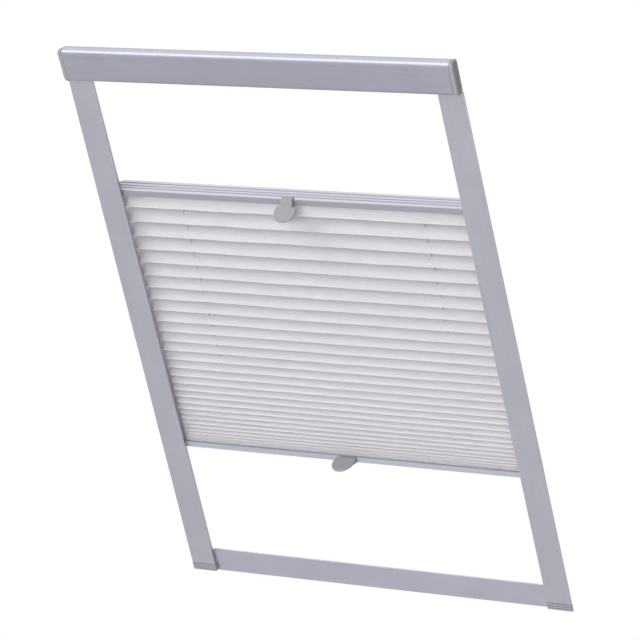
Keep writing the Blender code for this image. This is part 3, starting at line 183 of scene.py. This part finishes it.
# Cords
CORD_RADIUS = 0.00045
CORD_ROUNDNESS = 3
CORD_PLANE_STEP = 0.0012  # one cord lies this far behind the other
CORD_END_X = 0.1760
CORD_END_DEPTH = 0.0046
CORD_RUN_HEIGHT = 0.0032  # into a rail, from its edge at the cloth
CORD_BEND = 0.0020
CORD_BEND_STEPS = 8
CORD_HEAD_END = 0.4911
CORD_FOOT_END = 0.0079
TWIST_PITCH = 0.0007
TWIST_IN_DEPTH = 9000.0

# Studio. A lamp has a name, a place, an aim, a size and a power.
LAMPS = (
    ("key_lamp", (-1.6, -1.3, 3.0), (0, 0, 0.4), 2.1, 57.0),
    ("front_lamp", (0.9, -3.1, 2.0), (0, 0, 0.25), 1.9, 80.0),
    ("window_lamp", (-1.3, 1.65, 2.3), (0, 0, 0.4), 2.4, 21.0),
    ("low_lamp", (0.2, -2.2, -0.3), (0, 0, 0.45), 1.0, 7.0),
)
BACKDROP_LIGHT = 0.38
FLOOR_HEIGHT = -0.40
FLOOR_SIZE = 9.0
CAMERA_PLACE = (1.81359, -2.51844, 1.76199)
CAMERA_RIGHT = (0.84471518, 0.49272599, -0.20899129)
CAMERA_DOWN = (0.05733608, -0.47154090, -0.87997827)
CAMERA_FORWARD = (-0.53213610, 0.73134826, -0.42656874)
CAMERA_LENS = 231.07
CAMERA_SENSOR = 36.0
CAMERA_SHIFT = (0.04809, -0.06641)
CAMERA_CLIP = (0.1, 40.0)


class Amount:
    """A value that varies over a surface. Arithmetic on it adds its Math nodes."""

    def __init__(self, nodes, socket):
        self.nodes = nodes
        self.socket = socket

    def maths(self, operation, first, second=0.0):
        return self.nodes.node("ShaderNodeMath", {"operation": operation}, {0: first, 1: second})

    def __add__(self, other):
        return self.maths("ADD", self, other)

    __radd__ = __add__

    def __mul__(self, other):
        return self.maths("MULTIPLY", self, other)

    __rmul__ = __mul__

    def __sub__(self, other):
        return self.maths("SUBTRACT", self, other)

    def __rsub__(self, other):
        return self.maths("SUBTRACT", other, self)

    def __truediv__(self, other):
        return self.maths("DIVIDE", self, other)

    def __pow__(self, other):
        return self.maths("POWER", self, other)

    def __abs__(self):
        return self.maths("ABSOLUTE", self)

    def above(self, edge):
        return self.maths("GREATER_THAN", self, edge)

    def below(self, edge):
        return self.maths("LESS_THAN", self, edge)

    def larger(self, other):
        return self.maths("MAXIMUM", self, other)

    def sine(self):
        return self.maths("SINE", self)

    def fraction(self):
        return self.maths("FRACT", self)


class Nodes:
    """Node tree of a material or a world, and the shader that it starts with."""

    def __init__(self, owner, shader, output):
        self.owner = owner
        owner.use_nodes = True
        self.tree = owner.node_tree
        self.shader = self.tree.nodes[shader]
        self.surface = self.tree.nodes[output].inputs["Surface"]

    def fill(self, target, value):
        """Links a varying value to a socket, or sets the socket to a number, vector or colour."""
        if isinstance(value, Amount):
            self.tree.links.new(value.socket, target)
        elif isinstance(value, tuple) and len(value) < len(target.default_value):
            target.default_value = (*value, 1.0)
        else:
            target.default_value = value

    def node(self, kind, settings, inputs, output=0):
        """Adds a node: its settings first, then the values or links of its sockets."""
        made = self.tree.nodes.new(kind)
        for key, value in settings.items():
            setattr(made, key, value)
        for key, value in inputs.items():
            self.fill(made.inputs[key], value)
        return Amount(self, made.outputs[output])

    def feed(self, **sockets):
        """Sets or links the shader's sockets; underscores in their names stand for spaces."""
        for key, value in sockets.items():
            self.fill(self.shader.inputs[key.replace("_", " ")], value)
        return self.owner

    def mix_in(self, shader, factor):
        """Mixes another shader into the surface."""
        own = Amount(self, self.shader.outputs[0])
        mixed = self.node("ShaderNodeMixShader", {}, {0: factor, 1: own, 2: shader})
        self.fill(self.surface, mixed)
        return self.owner

    def seen(self):
        """1 to the camera and in reflections, otherwise 0."""
        direct = self.node("ShaderNodeLightPath", {}, {}, "Is Camera Ray")
        mirrored = self.node("ShaderNodeLightPath", {}, {}, "Is Glossy Ray")
        return direct.larger(mirrored)


class Finish(Nodes):
    """Node tree of one surface finish."""

    def __init__(self, name):
        super().__init__(bpy.data.materials.new(name), "Principled BSDF", "Material Output")
        self.place = self.node("ShaderNodeTexCoord", {}, {}, "Object")

    def coordinate(self, place, axis):
        """One of a place's coordinates, 0, 1 or 2."""
        return self.node("ShaderNodeSeparateXYZ", {}, {0: place}, axis)

    def along(self, axis):
        """One of the object coordinates, 0, 1 or 2."""
        return self.coordinate(self.place, axis)

    def stretched(self, source, scale):
        return self.node("ShaderNodeMapping", {"vector_type": "POINT"},
                         {"Vector": source, "Scale": scale})

    def noise(self, source, scale=1.0, detail=2.0):
        return self.node("ShaderNodeTexNoise", {}, {"Vector": source, "Scale": scale, "Detail": detail,
                                                    "Roughness": NOISE_ROUGHNESS})

    def draw_lines(self, axis):
        """Noise drawn out along an axis."""
        scale = [LINES_ACROSS] * 3
        scale[axis] = LINES_ALONG
        return self.noise(self.stretched(self.place, tuple(scale)))

    def blend(self, factor, first, second):
        """Mixes two colours."""
        return self.node("ShaderNodeMix", {"data_type": "RGBA"}, {0: factor, 6: first, 7: second}, 2)

    def clamp(self, value):
        return self.node("ShaderNodeClamp", {}, {0: value, 1: 0.0, 2: 1.0})

    def rise(self, value, start, gain):
        """0 up to a start, and from there up to 1."""
        return self.clamp((value - start) * gain)

    def near(self, distance, reach, edge=1.5):
        """1 at a distance of 0, and 0 far away, with a soft change at about the reach."""
        return self.clamp(edge - distance * (1.0 / reach))

    def bump(self, height, strength, distance):
        return self.node("ShaderNodeBump", {},
                         {"Strength": strength, "Distance": distance, "Height": height})


def tone(red, green, blue):
    """Scene-linear colour of a tint read as 0 to 255."""
    linear = []
    for part in (red, green, blue):
        share = part / 255
        linear.append(share / 12.92 if share <= 0.04045 else ((share + 0.055) / 1.055) ** 2.4)
    return tuple(linear)


def tinted(colour, factor):
    return tuple(part * factor for part in colour)


def extruded_metal(name, colour, axis, roughness=0.36, metallic=0.8):
    """Satin anodised aluminium with fine draw lines along an axis."""
    finish = Finish(name)
    drawn = finish.draw_lines(axis)
    cloudy = finish.noise(finish.place, METAL_CLOUDS)
    grain = finish.noise(finish.place, FINE_GRAIN, detail=1.0)
    shade = finish.clamp(drawn * 0.5 + cloudy * 0.5)
    lighter = finish.rise(shade, METAL_SHADE_FROM, METAL_SHADE_GAIN)
    return finish.feed(
        Base_Color=finish.blend(lighter, tinted(colour, METAL_DARK), tinted(colour, METAL_LIGHT)),
        Metallic=metallic,
        Roughness=finish.clamp(roughness - 0.05 + drawn * 0.06 + grain * 0.05),
        Normal=finish.bump(drawn * 0.6 + grain * 0.4, 0.12, 0.00004),
    )


def grooved_metal(name, colour, roughness=0.42, metallic=0.5):
    """The upper rail's metal, with painted shade in the grooves across its top and on its front wall.
    """
    finish = Finish(name)
    low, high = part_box("upper_rail")
    depth, height = finish.along(1), finish.along(2)
    drawn = finish.draw_lines(0)
    grain = finish.noise(finish.place, FINE_GRAIN, detail=1.0)
    shown = finish.blend(finish.clamp(drawn), tinted(colour, TOP_DARK), colour)
    top = height.above(high.z - TOP_SKIN)
    # painted shade in the grooves across the top
    for share in GROOVE_SHARES:
        middle = high.y - share * (high.y - low.y)
        groove_shade = finish.near(abs(depth - middle), GROOVE_REACH, GROOVE_EDGE)
        shown = finish.blend(groove_shade * top, shown, tinted(colour, GROOVE_SHADE_TONE))
    # painted shade on the front wall
    front = depth.below(low.y + FRONT_SKIN)
    return finish.feed(
        Base_Color=finish.blend(front, shown, tinted(colour, FRONT_WALL_SHADE_TONE)),
        Metallic=metallic,
        Roughness=finish.clamp(roughness + drawn * 0.06 + grain * 0.05),
        Normal=finish.bump(drawn * 0.5 + grain * 0.4, 0.08, 0.00003),
    )


def moulded_plastic(name, colour, roughness=0.5, shaded_from=None):
    """Moulding with a fine sparked texture, with painted shade outwards of shaded_from where that is
    given.
    """
    finish = Finish(name)
    grain = finish.noise(finish.place, MOULDED_GRAIN)
    cloudy = finish.noise(finish.place, MOULDED_CLOUDS)
    lighter = finish.clamp(grain * 0.4 + cloudy * 0.6)
    shown = finish.blend(lighter, tinted(colour, MOULDED_DARK), tinted(colour, MOULDED_LIGHT))
    if shaded_from:
        # painted shade on the outer ends
        painted_outer_shade = finish.rise(abs(finish.along(0)), shaded_from, OUTER_SHADE_GAIN)
        shown = finish.blend(painted_outer_shade, shown, tinted(colour, OUTER_SHADE_TONE))
    return finish.feed(
        Base_Color=shown,
        Roughness=finish.clamp(roughness - 0.06 + grain * 0.12),
        Normal=finish.bump(grain, 0.18, 0.00006),
    )


def bright_steel(name, colour, roughness=0.28):
    """Drawn steel with fine polishing marks."""
    finish = Finish(name)
    marks = finish.noise(finish.place, STEEL_MARKS, detail=3.0)
    return finish.feed(
        Base_Color=finish.blend(finish.clamp(marks), tinted(colour, STEEL_DARK), colour),
        Metallic=1.0,
        Roughness=finish.clamp(roughness - 0.06 + marks * 0.12),
    )


def pleated_polyester():
    """White cloth with a fine plain weave and faint slubs, and painted light that makes it lighter
    towards the lower rail.

    The upper pleats have painted shade towards their back folds, the lower ones painted shade at their
    front folds.
    """
    finish = Finish("pleated_cloth")
    cut = finish.node("ShaderNodeUVMap", {"uv_map": "cut"}, {})
    across, along = finish.coordinate(cut, 0), finish.coordinate(cut, 1)
    warp = (across * (math.tau / WARP_PITCH)).sine()
    weft = (along * (math.tau / WEFT_PITCH)).sine()
    weave = warp * weft
    slubs = finish.noise(finish.stretched(cut, SLUB_SCALE), detail=3.0)
    cloudy = finish.noise(finish.stretched(cut, CLOTH_CLOUD_SCALE))
    shade = finish.clamp(0.5 + weave * 0.10 + (slubs - 0.5) * 0.9 + (cloudy - 0.5) * 0.7)
    # painted light: the lower tone is lighter, against the shade between the tight lower pleats
    upper = finish.blend(shade, tone(212, 211, 215), tone(231, 230, 234))
    lower = finish.blend(shade, tone(237, 236, 239), tone(250, 249, 251))
    down = finish.rise(along / (2 * PANEL * PLEATS), LOWER_LIGHT_FROM, LOWER_LIGHT_GAIN)
    colour = finish.blend(down ** LOWER_LIGHT_POWER, upper, lower)

    inner = abs((along / (2 * PANEL)).fraction() - 0.5) * 2.0  # 0 at a front fold, 1 at a back fold
    # painted shade towards the back folds of the upper pleats
    back = finish.rise(inner, BACK_SHADE_FROM, BACK_SHADE_GAIN) * (1.0 - down)
    colour = finish.blend(back * BACK_SHADE, colour, tone(178, 176, 182))
    # painted shade at the front folds of the lower pleats
    front = finish.clamp(1.0 - inner * FRONT_SHADE_GAIN) * down
    colour = finish.blend(front * FRONT_SHADE, colour, tone(220, 218, 221))

    # darker marks round the cord slots
    beside = finish.near(abs(abs(across) - CORD_HOLE_X), MARK_HALF_WIDTH)
    level = finish.near(abs(inner - HOLE_SHARE), MARK_HALF_LENGTH / PANEL)
    colour = finish.blend(beside * level * MARK_SHADE, colour, tone(150, 148, 152))
    # painted light at the ends of the cloth, where the side rails cast shade
    ends = finish.rise(abs(across), CLOTH_HALF - END_REACH, END_GAIN)
    colour = finish.blend(ends * END_PAINTED_LIGHT, colour, tone(252, 243, 238))

    relief = finish.bump(weave * 0.5 + slubs, 0.25, 0.00005)
    finish.feed(
        Base_Color=colour,
        Roughness=finish.clamp(0.86 + (slubs - 0.5) * 0.1),
        Normal=relief,
    )
    through = finish.node("ShaderNodeBsdfTranslucent", {}, {"Color": colour, "Normal": relief})
    return finish.mix_in(through, ends * LIGHT_THROUGH + LIGHT_THROUGH)


def braided_cord():
    """Thin cord with a fine twist."""
    finish = Finish("cord")
    level, depth, upright = finish.along(0), finish.along(1), finish.along(2)
    twist = ((upright + level) * (math.tau / TWIST_PITCH) + depth * TWIST_IN_DEPTH).sine()
    fuzz = finish.noise(finish.place, FINE_GRAIN)
    shade = finish.clamp(0.6 + twist * 0.3 + (fuzz - 0.5) * 0.6)
    return finish.feed(
        Base_Color=finish.blend(shade, tone(146, 143, 146), tone(188, 185, 188)),
        Roughness=0.8,
        Normal=finish.bump(twist, 0.3, 0.00006),
    )


def dress(nodes, finish):
    """Gives named solids a finish."""
    for name in nodes:
        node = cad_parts[name]
        node.data.materials.clear()
        node.data.materials.append(finish)


def both_sides(*names):
    return [f"{name}_{word}" for name in names for _, word in SIDES]


def placed(name, data):
    """A new object of the scene."""
    made = bpy.data.objects.new(name, data)
    bpy.context.scene.collection.objects.link(made)
    return made


def meshed(name, bm, finish):
    """A mesh of a bmesh, which is freed, with a finish."""
    mesh = bpy.data.meshes.new(name)
    bm.to_mesh(mesh)
    bm.free()
    mesh.materials.append(finish)
    return mesh


def front_folds(top, bottom):
    """Heights of the front folds, from the upper rail down, each pitch a little tighter."""
    shares = [1 - PITCH_LOSS_SHARE * index for index in range(PLEATS - 1)]
    first_pitch = (top - FIRST_DROP - bottom - LAST_RISE) / sum(shares)
    heights = [top - FIRST_DROP]
    for share in shares:
        heights.append(heights[-1] - first_pitch * share)
    return heights


def back_folds(top, bottom):
    """Heights of the back folds: the first edge, midway between front folds, and the last edge."""
    fronts = front_folds(top, bottom)
    return [top] + [(high + low) / 2 for high, low in zip(fronts, fronts[1:])] + [bottom]


def ripple(x, line):
    """Small unevenness of a fold along the blind, the same wherever that fold is asked for."""
    return sum(strength * noise.noise(Vector((x * across, line * by_fold, seed)))
               for across, by_fold, seed, strength in RIPPLE_WAVES)


def column_places():
    """Places across the cloth: even steps, and close ones around the cords' slots."""
    step = 2 * CLOTH_HALF / CLOTH_COLUMNS
    places = [-CLOTH_HALF + step * index for index in range(CLOTH_COLUMNS + 1)]
    for hole in (-CORD_HOLE_X, CORD_HOLE_X):
        places = [x for x in places if abs(x - hole) > HOLE_CLEAR]
        places += [hole + HOLE_HALF_WIDTH * share for share in HOLE_COLUMNS]
    return sorted(places)


def panel_points(back, back_height, front, front_height):
    """Points (depth, height, share of the way to the front fold) from a panel's back to its front."""
    return [(back + (front - back) * share, back_height + (front_height - back_height) * share, share)
            for share in PANEL_SHARES]


def pleat_profile(first, crease, last):
    """Points down one pleat, as in panel_points: back edge, rounded front fold, back edge."""
    upper_depth = math.sqrt(PANEL ** 2 - (first - crease) ** 2)
    lower_depth = math.sqrt(PANEL ** 2 - (crease - last) ** 2)
    front = cloth_middle - max(upper_depth, lower_depth) / 2
    upper_panel = panel_points(cloth_middle + upper_depth / 2, first, front, crease)
    lower_panel = panel_points(cloth_middle + lower_depth / 2, last, front, crease)
    fold = [
        (front - FOLD_SIDE, crease + (first - crease) * FOLD_SIDE_SHARE, 1.0),
        (front - FOLD_TIP, crease, 1.0),
        (front - FOLD_SIDE, crease - (crease - last) * FOLD_SIDE_SHARE, 1.0),
    ]
    return upper_panel + fold + lower_panel[::-1]


def ends_of_blend(upper_share, upper_height, lower_share, lower_height):
    """Ends of the smooth turn that gives two heights these shares of a rail's travel."""
    def eased(share):
        """Where the smooth turn, 3 t squared less 2 t cubed, comes to a share."""
        return 0.5 - math.sin(math.asin(1 - 2 * min(max(share, 0.0), 1.0)) / 3)
    high = eased(upper_share)
    low = eased(lower_share)
    slope = (upper_height - lower_height) / (high - low)
    return lower_height - low * slope, lower_height + (1 - low) * slope


def cloth_pleat(number, first, crease, last, finish):
    """One pleat of the cloth as a thin folded sheet with a slot for each cord, and its cut length."""
    profile = pleat_profile(first, crease, last)
    columns = column_places()
    bm = bmesh.new()
    across, down = len(columns) - 1, len(profile) - 1
    bmesh.ops.create_grid(bm, x_segments=across, y_segments=down, size=GRID_HALF)
    cut = bm.loops.layers.uv.new("cut")
    lengths = [0.0]
    for before, after in zip(profile, profile[1:]):
        lengths.append(lengths[-1] + math.hypot(after[0] - before[0], after[1] - before[1]))
    where = {}
    for vert in bm.verts:
        column = round((vert.co.x + GRID_HALF) * across)
        row = round((vert.co.y + GRID_HALF) * down)
        where[vert] = (column, row)

    tight = min(1.0, (first - last) / PANEL)
    for vert, (column, row) in where.items():
        x = columns[column]
        depth, height, share = profile[row]
        back_line = 2 * (number - 1) if row < len(profile) / 2 else 2 * number
        bend = ripple(x, back_line) * (1 - share) + ripple(x, 2 * number - 1) * share
        wave_share = BACK_FOLD_WAVE_SHARE + (1 - BACK_FOLD_WAVE_SHARE) * share
        wave = bend * FOLD_WAVE * tight * wave_share
        sag = ripple(x * SAG_STRETCH, number + SAG_SEED) * PANEL_SAG * math.sin(math.pi * share) * tight
        vert.co = (x, depth + bend * FOLD_WAVE_DEPTH * share, height + wave + sag)
    for face in bm.faces:
        for loop in face.loops:
            column, row = where[loop.vert]
            loop[cut].uv = (columns[column], number * 2 * PANEL + lengths[row])

    holes = []
    for face in bm.faces:
        corners = [where[vert] for vert in face.verts]
        middle = sum(profile[row][0] for column, row in corners) / len(corners)
        reach = abs(middle - cloth_middle - CORD_HOLE_SETBACK)
        offset = sum(abs(abs(columns[column]) - CORD_HOLE_X) for column, row in corners) / len(corners)
        if reach / HOLE_HALF_LENGTH + offset / HOLE_HALF_WIDTH < 1.0:
            holes.append(face)
    bmesh.ops.delete(bm, geom=holes, context="FACES")
    bmesh.ops.recalc_face_normals(bm, faces=bm.faces)
    mesh = meshed(f"cloth_pleat_{number:02d}", bm, finish)
    mesh.shade_smooth()
    return placed(mesh.name, mesh), lengths[-1]


def extruded(corners, segments, reach):
    """Solid of an outline, drawn along reach. Each corner is a place and the radius there."""
    bm = bmesh.new()
    verts = []
    for place, radius in corners:
        verts += bmesh.ops.create_vert(bm, co=place)["vert"]
    bm.faces.new(verts)
    for vert, (place, radius) in zip(verts, corners):
        if radius:
            bmesh.ops.bevel(bm, geom=[vert], offset=radius, offset_type="OFFSET", segments=segments,
                            profile=0.5, affect="VERTICES", material=-1)
    grown = bmesh.ops.extrude_face_region(bm, geom=list(bm.faces), use_keep_orig=True)
    moved = [item for item in grown["geom"] if isinstance(item, bmesh.types.BMVert)]
    bmesh.ops.translate(bm, verts=moved, vec=reach)
    return bm


def finished(name, bm, finish, slot, *nodes):
    """Makes a fixed piece of a bmesh, smooth over its curves; it stands for the named solids."""
    bmesh.ops.recalc_face_normals(bm, faces=bm.faces)
    mesh = meshed(name, bm, finish)
    mesh.shade_smooth()
    mesh.set_sharp_from_angle(angle=SMOOTH_ANGLE)
    piece = placed(name, mesh)
    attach(piece, "frame")
    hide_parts(*nodes)


def cassette_cover(finish):
    """Extruded cover: rounded front, a lip along the foot, a tail, and a rib for the brackets."""
    top, bottom, front, wall = CASSETTE_TOP, CASSETTE_BOTTOM, CASSETTE_FRONT, COVER_WALL
    inner, lip = front + wall, front + COVER_LIP
    crown = front + COVER_TOP_RADIUS + COVER_CROWN_STEP
    rib, rib_foot = inner + SNAP_RIB_REACH, SNAP_RIB_TOP - wall
    back, back_top = CASSETTE_BACK, top - BACK_EDGE_FALL
    outline = (
        (back, back_top, 0),
        (crown, top, 0),
        (front, top, COVER_TOP_RADIUS),
        (front, bottom, COVER_BOTTOM_RADIUS),
        (lip, bottom, 0),
        (lip, bottom + wall, 0),
        (inner, bottom + wall, COVER_BOTTOM_RADIUS - wall),
        (inner, rib_foot, 0),
        (rib, rib_foot, 0),
        (rib, SNAP_RIB_TOP, 0),
        (inner, SNAP_RIB_TOP, 0),
        (inner, top - wall, COVER_TOP_RADIUS - wall),
        (crown, top - wall, 0),
        (back - wall, back_top - wall, 0),
        (back - wall, top - COVER_TAIL, 0),
        (back, top - COVER_TAIL, 0),
    )
    corners = [((-COVER_HALF, depth, height), radius) for depth, height, radius in outline]
    bm = extruded(corners, COVER_SEGMENTS, (2 * COVER_HALF, 0, 0))
    finished("cover_extrusion", bm, finish, "anodised_aluminium", "cassette_cover")


def cassette_cap(side, word, finish):
    """Moulded end cap: a pillowed shape with round outer corners, and a hollow spigot in the cover."""
    top, bottom = CASSETTE_TOP, CASSETTE_BOTTOM - CAP_DROP
    outline = (
        (CAP_INNER_X, bottom, 0),
        (CAP_OUTER_X - CAP_TAPER, bottom, CAP_BOTTOM_RADIUS),
        (CAP_OUTER_X, top, CAP_TOP_RADIUS),
        (CAP_INNER_X, top, 0),
    )
    corners = [((x, CASSETTE_BACK, height), radius) for x, height, radius in outline]
    bm = extruded(corners, CAP_SEGMENTS, (0, CASSETTE_FRONT - CASSETTE_BACK, 0))
    rim = []
    for edge in bm.edges:
        ends = [vert.co for vert in edge.verts]
        at_front = all(end.y < CASSETTE_FRONT + TINY for end in ends)
        at_cover = all(end.x < CAP_INNER_X + TINY for end in ends)
        if at_front and not at_cover:
            rim.append(edge)
    bmesh.ops.bevel(bm, geom=rim, offset=CAP_RADIUS, offset_type="OFFSET", segments=CAP_SEGMENTS,
                    profile=0.5, affect="EDGES", material=-1, clamp_overlap=True)
    for vert in bm.verts:
        if vert.co.y > CASSETTE_BACK - TINY:
            vert.co.x = CAP_INNER_X + (vert.co.x - CAP_INNER_X) * CAP_BACK_SHARE
            vert.co.z = min(vert.co.z, top - BACK_EDGE_FALL)

    inner_faces = [face for face in bm.faces if face.calc_center_median().x < CAP_INNER_X + TINY]
    inner_face = max(inner_faces, key=lambda face: face.calc_area())
    bmesh.ops.inset_region(bm, faces=[inner_face], thickness=COVER_WALL + SPIGOT_CLEARANCE,
                           use_even_offset=True)
    for reach, wall in ((-SPIGOT_LENGTH, SPIGOT_WALL), (SPIGOT_HOLLOW, 0.0)):
        grown = bmesh.ops.extrude_discrete_faces(bm, faces=[inner_face])
        inner_face = grown["faces"][0]
        bmesh.ops.translate(bm, verts=inner_face.verts, vec=(reach, 0, 0))
        if wall:
            bmesh.ops.inset_region(bm, faces=[inner_face], thickness=wall, use_even_offset=True)
    if side < 0:
        bmesh.ops.scale(bm, verts=bm.verts, vec=(-1, 1, 1))
    finished(f"end_cap_shell_{word}", bm, finish, "grey_plastic", f"cassette_end_cap_{word}")


def cord_length(name, points, finish, node):
    """One length of a cord: a round tube along the given points."""
    curve = bpy.data.curves.new(name, "CURVE")
    curve.dimensions = "3D"
    curve.bevel_depth = CORD_RADIUS
    curve.bevel_resolution = CORD_ROUNDNESS
    curve.use_fill_caps = True
    spline = curve.splines.new("POLY")
    spline.points.add(len(points) - 1)
    for point, place in zip(spline.points, points):
        point.co = (*place, 1.0)
    line = placed(name + "_line", curve)
    bpy.context.view_layer.update()
    tube = line.evaluated_get(bpy.context.evaluated_depsgraph_get())
    mesh = bpy.data.meshes.new_from_object(tube)
    mesh.name = name
    bpy.data.objects.remove(line, do_unlink=True)
    bpy.data.curves.remove(curve)
    mesh.materials.clear()
    mesh.materials.append(finish)
    mesh.shade_smooth()
    piece = placed(name, mesh)
    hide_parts(node)
    return piece


def turn(corner, before, after):
    """Points round a bend of the cord at a corner."""
    corner = Vector(corner)
    towards = (Vector(before) - corner).normalized()
    onwards = (Vector(after) - corner).normalized()
    centre = corner + (towards + onwards) * CORD_BEND
    points = []
    for step in range(CORD_BEND_STEPS + 1):
        angle = math.pi / 2 * step / CORD_BEND_STEPS
        spoke = onwards * math.cos(angle) + towards * math.sin(angle)
        points.append(centre - spoke * CORD_BEND)
    return points


def tension_cord(side, word, finish):
    """A cord in six lengths. Two go with the rails that they lie in, and four are fixed in place."""
    node = f"tension_cord_{word}"
    end_y = CORD_END_DEPTH + side * CORD_PLANE_STEP / 2
    hole_y = cloth_middle + CORD_HOLE_SETBACK + side * CORD_PLANE_STEP / 2
    hole_x, end_x = side * CORD_HOLE_X, side * CORD_END_X
    upper_run = upper_rail_low + CORD_RUN_HEIGHT
    lower_run = lower_rail_high - CORD_RUN_HEIGHT
    head = (end_x, end_y, CORD_HEAD_END)
    upper_end = (end_x, end_y, upper_run)
    upper_turn = (hole_x, hole_y, upper_run)
    lower_turn = (hole_x, hole_y, lower_run)
    across = (-hole_x, hole_y, lower_run)
    lower_end = (-end_x, end_y, lower_run)
    foot = (-end_x, end_y, CORD_FOOT_END)
    middle = (hole_x, hole_y, still)
    upper_bend, upper_drop = turn(upper_end, head, upper_turn), turn(upper_turn, upper_end, lower_turn)
    lower_drop, lower_bend = turn(lower_turn, upper_turn, across), turn(lower_end, across, foot)
    in_upper_rail = upper_bend + upper_drop
    in_lower_rail = lower_drop + [across] + lower_bend
    lead = cord_length(f"cord_lead_{word}", [head, upper_bend[0]], finish, node)
    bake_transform(lead)
    upper_level = cord_length(f"cord_in_upper_rail_{word}", in_upper_rail, finish, node)
    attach(upper_level, "upper_rail")
    upper_fall = cord_length(f"cord_in_cloth_{word}", [upper_drop[-1], middle], finish, node)
    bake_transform(upper_fall)
    lower_fall = cord_length(f"cord_in_lower_cloth_{word}", [middle, lower_drop[0]], finish, node)
    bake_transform(lower_fall)
    lower_level = cord_length(f"cord_in_lower_rail_{word}", in_lower_rail, finish, node)
    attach(lower_level, "lower_rail")
    tail = cord_length(f"cord_tail_{word}", [lower_bend[-1], foot], finish, node)
    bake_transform(tail)


def backdrop():
    """Surroundings that are white to the camera and in reflections, and a dimmer light otherwise."""
    world = bpy.data.worlds.new("studio")
    bpy.context.scene.world = world
    light = Nodes(world, "Background", "World Output")
    light.feed(Color=WHITE, Strength=BACKDROP_LIGHT)
    paper = light.node("ShaderNodeBackground", {}, {"Color": WHITE, "Strength": 1.0})
    light.mix_in(paper, light.seen())


def lamp(name, place, aim, size, power):
    """Square soft lamp that points at aim."""
    data = bpy.data.lights.new(name, "AREA")
    data.shape = "SQUARE"
    data.size = size
    data.energy = power
    made = placed(name, data)
    made.location = place
    made.rotation_euler = (Vector(aim) - Vector(place)).to_track_quat("-Z", "Y").to_euler()


def pale_floor():
    """Wide floor that is plain white to the camera and in reflections, and throws light back up."""
    finish = Finish("pale_floor")
    finish.feed(Base_Color=tone(246, 246, 246), Roughness=0.9)
    glow = finish.node("ShaderNodeEmission", {}, {"Color": WHITE, "Strength": 1.0})
    paper = finish.mix_in(glow, finish.seen())
    bm = bmesh.new()
    bmesh.ops.create_grid(bm, x_segments=1, y_segments=1, size=FLOOR_SIZE)
    bmesh.ops.translate(bm, verts=bm.verts, vec=(0, 0, FLOOR_HEIGHT))
    floor = placed("floor", meshed("floor", bm, paper))


def camera():
    """Camera at the photograph's angle: from the right, above, and a little rolled."""
    data = bpy.data.cameras.new("camera")
    data.sensor_width = CAMERA_SENSOR
    data.lens = CAMERA_LENS
    data.shift_x, data.shift_y = CAMERA_SHIFT
    data.clip_start, data.clip_end = CAMERA_CLIP
    made = placed("camera", data)
    right, down, forward = Vector(CAMERA_RIGHT), Vector(CAMERA_DOWN), Vector(CAMERA_FORWARD)
    facing = Matrix((right, -down, -forward)).transposed()
    made.matrix_world = Matrix.Translation(CAMERA_PLACE) @ facing.to_4x4()
    bpy.context.scene.camera = made


upper_rail_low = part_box("upper_rail")[0].z
lower_rail_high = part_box("lower_rail")[1].z
cloth_middle = (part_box("upper_rail")[0].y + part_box("upper_rail")[1].y) / 2

side_metal = extruded_metal("side_rail_metal", tone(167, 167, 178), 2)
cross_metal = extruded_metal("cross_metal", tone(168, 168, 180), 0)
cover_metal = extruded_metal("cover_metal", tone(153, 154, 165), 0, roughness=0.41)
light_metal = grooved_metal("light_metal", tone(180, 180, 192))
lower_metal = extruded_metal("lower_rail_metal", tone(172, 172, 184), 0, roughness=0.45, metallic=0.6)
grey_moulding = moulded_plastic("grey_moulding", tone(150, 148, 156))
handle_moulding = moulded_plastic("handle_moulding", tone(140, 139, 144))
cap_moulding = moulded_plastic("cap_moulding", tone(143, 141, 147), 0.45, CAP_SHADED_FROM)
dark_moulding = moulded_plastic("dark_moulding", tone(140, 137, 146))
white_moulding = moulded_plastic("white_moulding", tone(222, 222, 222))
wire = bright_steel("spring_wire", tone(190, 192, 196))
screw_metal = bright_steel("screw_metal", tone(196, 196, 200), 0.34)
cloth = pleated_polyester()
twine = braided_cord()

dress(both_sides("side_rail"), side_metal)
dress(["bottom_bar"], cross_metal)
dress(["upper_rail"], light_metal)
dress(["lower_rail"], lower_metal)
dress(both_sides("upper_glide", "lower_glide"), grey_moulding)
dress(["upper_handle", "lower_handle"], handle_moulding)
dress(both_sides("rail_foot"), dark_moulding)
dress(both_sides("cassette_bracket", "cord_bead", "cord_foot_anchor"), white_moulding)
dress(["upper_cloth_strip", "lower_cloth_strip"], white_moulding)
dress(both_sides("cord_spring"), wire)
dress(both_sides("head_screw"), screw_metal)

cassette_cover(cover_metal)
for side, word in SIDES:
    cassette_cap(side, word, cap_moulding)

fronts = front_folds(upper_rail_low, lower_rail_high)
backs = back_folds(upper_rail_low, lower_rail_high)
still = backs[STILL_FOLD]
for number in range(1, PLEATS + 1):
    high, low = backs[number - 1], backs[number]
    sheet, length = cloth_pleat(number, high, fronts[number - 1], low, cloth)
    if number <= STILL_FOLD:
        rail, edge = "upper_rail", upper_rail_low
    else:
        rail, edge = "lower_rail", lower_rail_high
    shares = [abs(height - still) / abs(edge - still) for height in (high, low)]
    start, end = ends_of_blend(shares[0], high, shares[1], low)
    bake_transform(sheet)
    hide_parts(f"pleat_{number:02d}")
for side, word in SIDES:
    tension_cord(side, word, twine)

bpy.context.scene.view_settings.view_transform = "Standard"
backdrop()
for values in LAMPS:
    lamp(*values)
pale_floor()
camera()
